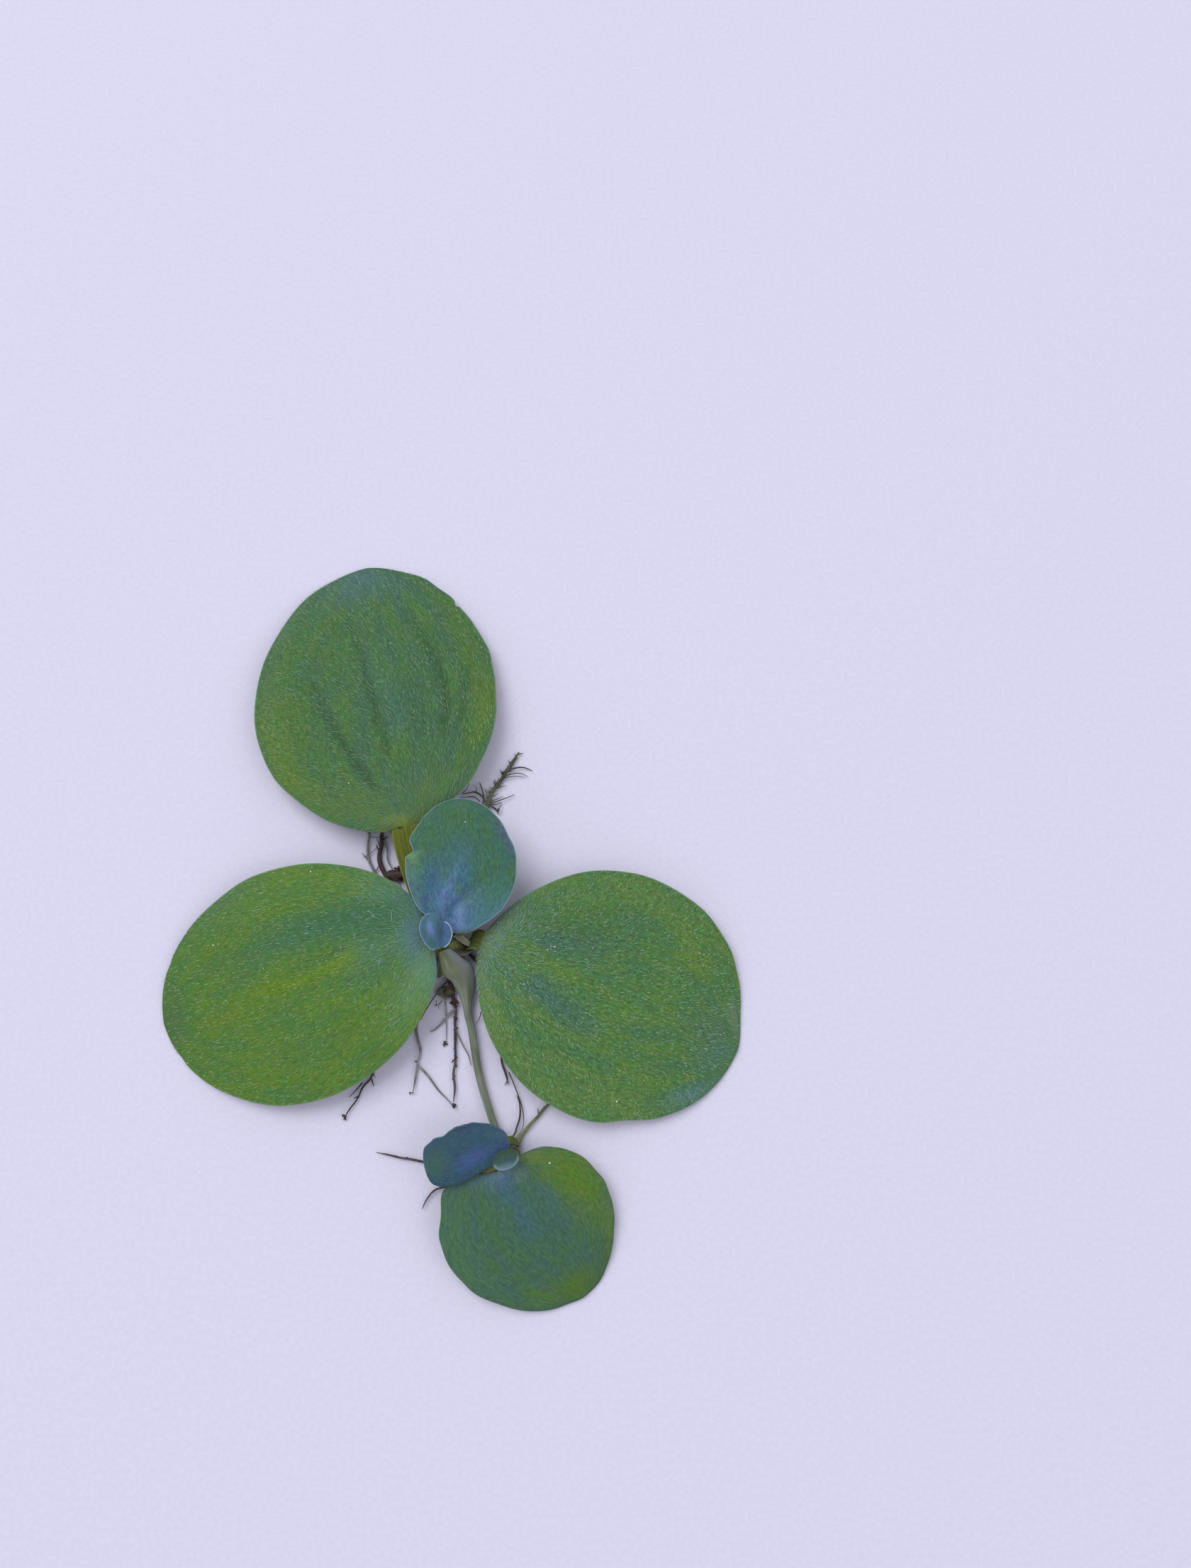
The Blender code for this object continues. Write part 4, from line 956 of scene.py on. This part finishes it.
def make_wool(name, material, draw):
    """Scatter long kinked hairs over a blade's base."""
    leaf, look = LEAVES[name], LOOKS[name]
    wanted, span, lengths, radius = look["wool"]
    turn, across_share = spaced_over_blade(leaf, WOOL_SPACING, draw, span)
    chosen = draw.permutation(np.flatnonzero(np.abs(across_share) < WOOL_EDGE))[:wanted]
    turn, across_share = turn[chosen], across_share[chosen]
    count = len(turn)
    roots, ups = upper_face(name, turn, across_share)
    bends = np.zeros((count, 4, 3))
    bends[:, :, 0] = (0.3, 0.55, 0.8, 1.0)
    bends[:, :, 1] = np.cumsum(draw.normal(0, 0.12, (count, 4)), axis=1)
    bends[:, :, 2] = (0.12, 0.16, 0.14, 0.1)
    # the last argument gives each wool hair a painted glint at random
    add_hairs(
        name + "_wool", material, look["slot"], roots, draw.uniform(0, 2 * np.pi, count), ups,
        draw.uniform(*lengths, count), np.full(count, radius), bends, reach_at(turn),
        draw.uniform(0, 1, count))


def make_lumps(name, places, sizes, material, slot, draw):
    """Join small angular lumps into one piece."""
    shape = bmesh.new()
    for place, size in zip(places, sizes):
        made = bmesh.ops.create_icosphere(shape, subdivisions=1, radius=1.0)["verts"]
        stretch = draw.uniform(0.6, 1.3, 3) * size * (1, 1, LUMP_FLATNESS)
        for vertex in made:
            point = place + np.array(vertex.co) * stretch * draw.uniform(0.75, 1.2)
            vertex.co = Vector((point[0], point[1], max(point[2], 0.0))) * MM
    add_piece(name, mesh_of(name, shape), material, slot)


def make_specks(name, material, draw):
    """Put the few pale grains that paint glints on a blade."""
    reach, across_share, sizes = np.array(LOOKS[name]["specks"]).T
    places, _ = upper_face(name, turn_at(reach), across_share)
    make_lumps(name + "_specks", places, sizes, material, LOOKS[name]["slot"], draw)


# ---- crowns, sheaths and stolon

def make_crown(name, profile, place, material, lumps, phase):
    """Turn a crown's profile finely and raise the bases of the stalks on it."""
    steps, around = 10, 64
    knots = np.arange(len(profile))
    fine = np.linspace(0, len(profile) - 1, (len(profile) - 1) * steps + 1)
    radius, height = (np.interp(fine, knots, column) for column in np.array(profile).T)
    angle = np.arange(around) * 2 * np.pi / around
    swell = 1 + 0.08 * np.cos(lumps * angle + phase) + 0.04 * np.sin(7 * angle + 2 * phase)
    rows = radius[:, None] * swell[None]
    points = np.stack([
        place[0] + rows * np.cos(angle), place[1] + rows * np.sin(angle),
        np.repeat(height[:, None], around, axis=1)], axis=-1)
    mesh = mesh_from(name + "_tissue", points.reshape(-1, 3), tube_faces(len(fine), around))
    add_piece(name + "_tissue", mesh, material, "crown", name)


def tube_faces(rows, around):
    """Return the faces of a closed tube whose points lie in rows, from its first row to its last."""
    index = np.arange(rows * around).reshape(rows, around)
    here, there = index[:-1], index[1:]
    faces = np.stack([here, there, np.roll(there, -1, axis=1), np.roll(here, -1, axis=1)], axis=-1)
    return faces.reshape(-1, 4).tolist() + [index[0].tolist(), index[-1][::-1].tolist()]


def make_ribbon(name, knots, material, slot, sides, *nodes):
    """Loft a flattened ribbon whose half-widths and thickness change along its route."""
    rows = smooth_route(knots, RIBBON_STEP)
    middle, left, right, thick = rows[:, :3], rows[:, 3], rows[:, 4], rows[:, 5]
    heading = unit(np.gradient(middle, axis=0))
    sideways = unit(np.cross(UP, heading))
    angle = np.arange(sides) * 2 * np.pi / sides
    across = np.cos(angle)
    width = np.where(across > 0, left[:, None], right[:, None])
    ridges = 1 + 0.07 * np.sin(5 * angle)
    up = np.sign(np.sin(angle)) * np.abs(np.sin(angle)) ** 0.55 * ridges
    points = (middle[:, None] + sideways[:, None] * (across * width)[..., None]
              + UP * (up * thick[:, None])[..., None])
    points[..., 2] = np.maximum(points[..., 2], 0.03)
    mesh = mesh_from(name, points.reshape(-1, 3), tube_faces(len(rows), sides))
    length = np.concatenate([[0.0], np.cumsum(np.linalg.norm(np.diff(middle, axis=0), axis=1))])
    around = np.tile(angle / (2 * np.pi), len(rows))
    strand = np.stack([np.repeat(length, sides), around, np.tile(across, len(rows))], axis=1)
    write_attribute(mesh, "strand", strand)
    add_piece(name, mesh, material, slot, *nodes)


# ---- roots

def lay_strands(name, strands, roundness, material, slot, *nodes):
    """Lay smooth strands, each given by its points and radii in millimetres, as one piece."""
    curve = bpy.data.curves.new(name, "CURVE")
    curve.dimensions = "3D"
    curve.bevel_depth = MM
    curve.bevel_resolution = roundness
    curve.resolution_u = 4
    curve.use_fill_caps = True
    for points, radii in strands:
        spline = curve.splines.new("BEZIER")
        spline.bezier_points.add(len(points) - 1)
        for knot, point, radius in zip(spline.bezier_points, points, radii):
            knot.co = Vector(point) * MM
            knot.handle_left_type = "AUTO"
            knot.handle_right_type = "AUTO"
            knot.radius = radius
    add_piece(name, curve, material, slot, *nodes)


def make_root(name, root, skins, crumbs, draw):
    """Lay a wavering root along its route, with its side roots on both hands and its crumbs."""
    thickness, tone, crowding, side_length, crumb_count, knots = root
    skin = skins[tone]
    route = smooth_route(knots, ROOT_STEP)
    waver = draw.normal(0, 0.05, route.shape) * np.array((1, 1, 0.3))
    waver[0] = 0
    route = route + waver
    share = np.linspace(0, 1, len(route))
    radii = thickness * (1 - (1 - ROOT_TIP) * share) * draw.uniform(0.85, 1.12, len(route))
    radii[-1] *= 0.4
    route[:, 2] = np.maximum(route[:, 2], radii + CLEARANCE)
    lay_strands(name + "_strand", [(route, radii)], 2, skin, "root", name)

    fine = smooth_route(route, SIDE_STEP)
    heading = unit(np.gradient(fine, axis=0))
    side_roots = []
    count = int(crowding * SIDE_STEP * len(fine))
    for start in np.sort(draw.integers(len(fine) // 8, len(fine) - 2, count)):
        turn = draw.choice((-1.0, 1.0)) * math.radians(draw.uniform(28, 60))
        length = draw.uniform(*side_length) * (1 - 0.3 * start / len(fine))
        x, y, _ = heading[start]
        cosine, sine = math.cos(turn), math.sin(turn)
        way = np.array((x * cosine - y * sine, x * sine + y * cosine, 0.0))
        aside = np.array((-way[1], way[0], 0.0)) * draw.normal(0, 0.14)
        steps = np.array((0.0, 0.3, 0.65, 1.0))
        points = fine[start] + way * (length * steps)[:, None] + aside * (length * steps ** 2)[:, None]
        radii = draw.uniform(0.04, 0.07) * np.array((0.9, 1.0, 0.75, 0.25))
        points[:, 2] = np.maximum(points[:, 2] - 0.1 * steps, radii + CLEARANCE)
        side_roots.append((points, radii))
    if side_roots:
        lay_strands(name + "_side_roots", side_roots, 1, skin, "root")
    if crumb_count:
        spots = fine[draw.integers(0, int(len(fine) * 0.85), crumb_count)]
        spots = spots + draw.normal(0, 0.08, (crumb_count, 3))
        spots[:, 2] = np.maximum(spots[:, 2], 0.12)
        make_lumps(name + "_crumbs", spots, draw.uniform(0.04, 0.12, crumb_count), crumbs, "root", draw)


def make_fine_roots(name, lift, routes, skin):
    """Lay a group of fine roots that sink from a height to the surface as they run."""
    strands = []
    for radius, plan in routes:
        share = np.linspace(0, 1, len(plan))
        radii = radius * np.array((0.9, *(1 - 0.65 * share[1:])))
        height = np.maximum(lift * (1 - 0.6 * share), radii + CLEARANCE)
        strands.append((np.column_stack([np.array(plan), height]), radii))
    lay_strands(name, strands, 1, skin, "root")


def make_lobe(name, place, size, skin, draw):
    """Round off a soft lump of tissue from an ellipsoid with shallow dents."""
    shape = bmesh.new()
    bmesh.ops.create_icosphere(shape, subdivisions=4, radius=1.0)
    dents = draw.uniform(-1, 1, (4, 3)) * 4
    for vertex in shape.verts:
        point = np.array(vertex.co)
        point = point * (1 + 0.1 * np.sin(dents @ point).sum()) * size + place
        vertex.co = Vector((point[0], point[1], max(point[2], 0.02))) * MM
    mesh = mesh_of(name, shape)
    mesh.shade_smooth()
    add_piece(name, mesh, skin, "root")


# ---- the plant

def build_plant():
    """Make every piece of the plant."""
    draw = np.random.default_rng(7)
    downs = {
        "velvet": down_finish("leaf_velvet", "#b6d0a8", "#759659", "#94b2b0"),
        "frosty": down_finish("frosty_leaf_velvet", "#bcd8c4", "#6f9260", "#a2bccc"),
        "fine": down_finish("fine_leaf_velvet", "#a6c4aa", "#5c8056", "#86a69e"),
        "young": down_finish("young_leaf_velvet", "#8fa8b4", "#5f807a", "#8a9ec4"),
        "daughter": down_finish("daughter_leaf_velvet", "#7d9a80", "#527058", "#7f98a4")}
    wools = {
        "grown_leaf": down_finish("leaf_wool", "#c6d4ea", "#94acc0", "#b4c4e6"),
        "young_leaf": down_finish("young_leaf_wool", "#a3b2e0", "#7488b8", "#93a3d6")}
    specks = glint_specks()
    for name, look in LOOKS.items():
        make_leaf(name)
        make_down(name, downs[look["hairs"]], draw)
        if look["wool"]:
            make_wool(name, wools[look["slot"]], draw)
        if look["specks"]:
            make_specks(name, specks, draw)

    tissue, membrane = crown_tissue(), sheath_membrane("sheath_membrane", "#575c3a", "#6c6f46")
    make_crown("crown", CROWN_PROFILE, (0.0, 0.0), tissue, 5, 0.7)
    make_crown("daughter_crown", DAUGHTER_CROWN_PROFILE, DAUGHTER_CROWN_AT, tissue, 4, 0.2)
    make_ribbon("stolon_runner", STOLON, stolon_skin(), "stolon", 28, "stolon")
    make_ribbon("stolon_sheath_lobe", SHEATH_LOBE, membrane, "stolon", 20)
    make_ribbon("crown_sheath", CROWN_SHEATH, membrane, "crown", 20)
    make_ribbon("daughter_sheath", DAUGHTER_SHEATH, tissue, "crown", 20)
    # the crescent's dark finish is painted shade, its whitish edges painted glints
    shade_crescent_finish = sheath_membrane("shade_crescent_membrane", "#30242a", "#4a3c34")
    make_ribbon("shade_crescent", SHADE_CRESCENT, shade_crescent_finish, "crown", 20)

    skins = {
        "brown": root_skin("root_brown", "#5a4a45", "#3c2e2b", "#857a76"),
        "dark": root_skin("root_dark", "#4a3c36", "#33261f", "#756a62"),
        "olive": root_skin("root_olive", "#5a6042", "#414629", "#83898a"),
        "grey": root_skin("root_grey", "#8b8b8c", "#6d6a64", "#a8a8ae"),
        "green": root_skin("root_green", "#727a50", "#575e3c", "#989d92"),
        "umber": root_skin("root_umber", "#55514a", "#3b382f", "#7d7b76"),
    }
    crumbs = peat_crumbs()
    for name, root in ROOTS.items():
        make_root(name, root, skins, crumbs, draw)
    for name, (tone, lift, routes) in FINE_ROOTS.items():
        make_fine_roots(name, lift, routes, skins[tone])
    make_lobe("root_knot", *ROOT_KNOT, skins["olive"], draw)
    make_lobe("dead_leaf_base", *DEAD_LEAF_BASE, skins["dark"], draw)
    spots, sizes = [], []
    for x, y, z, reach, count in PEAT_CLUMPS:
        scatter = draw.normal(0, 0.5, (count, 3)) * np.array((reach, reach, reach * 0.5))
        spots.append(np.array((x, y, z)) + scatter)
        sizes.append(draw.uniform(0.3, 0.6, count) * reach)
    make_lumps("peat_clumps", np.concatenate(spots), np.concatenate(sizes), crumbs, "root", draw)


def build_stage():
    """Lay the floor, hang the lights and set up the camera."""
    bpy.ops.mesh.primitive_plane_add(size=FLOOR_SIZE * MM, location=(0, 0, -FLOOR_DROP * MM))
    floor = bpy.context.object
    floor.name = "floor"
    floor.data.materials.append(pale_card())

    world = bpy.data.worlds.new("studio")
    bpy.context.scene.world = world
    world.use_nodes = True
    colour, strength = ROOM_LIGHT
    world.node_tree.nodes["Background"].inputs["Color"].default_value = linear(colour)
    world.node_tree.nodes["Background"].inputs["Strength"].default_value = strength
    for name, place, size, power in SOFTBOXES:
        data = bpy.data.lights.new(name, "AREA")
        data.size = size
        data.energy = power
        lamp = bpy.data.objects.new(name, data)
        bpy.context.scene.collection.objects.link(lamp)
        lamp.location = place
        lamp.rotation_euler = (-Vector(place)).to_track_quat("-Z", "Y").to_euler()

    data = bpy.data.cameras.new("camera")
    data.sensor_width = CAMERA_SENSOR
    data.lens = CAMERA_LENS
    data.clip_start, data.clip_end = 0.005, 60.0
    camera = bpy.data.objects.new("camera", data)
    bpy.context.scene.collection.objects.link(camera)
    looks = Vector(CAMERA_LOOKS).normalized()
    right = looks.cross(Vector(CAMERA_UP)).normalized()
    turned = Matrix((right, right.cross(looks), -looks)).transposed().to_4x4()
    camera.matrix_world = Matrix.Translation(Vector(CAMERA_AT) * MM) @ turned
    bpy.context.scene.camera = camera
    bpy.context.scene.view_settings.view_transform = "Standard"


build_plant()
build_stage()
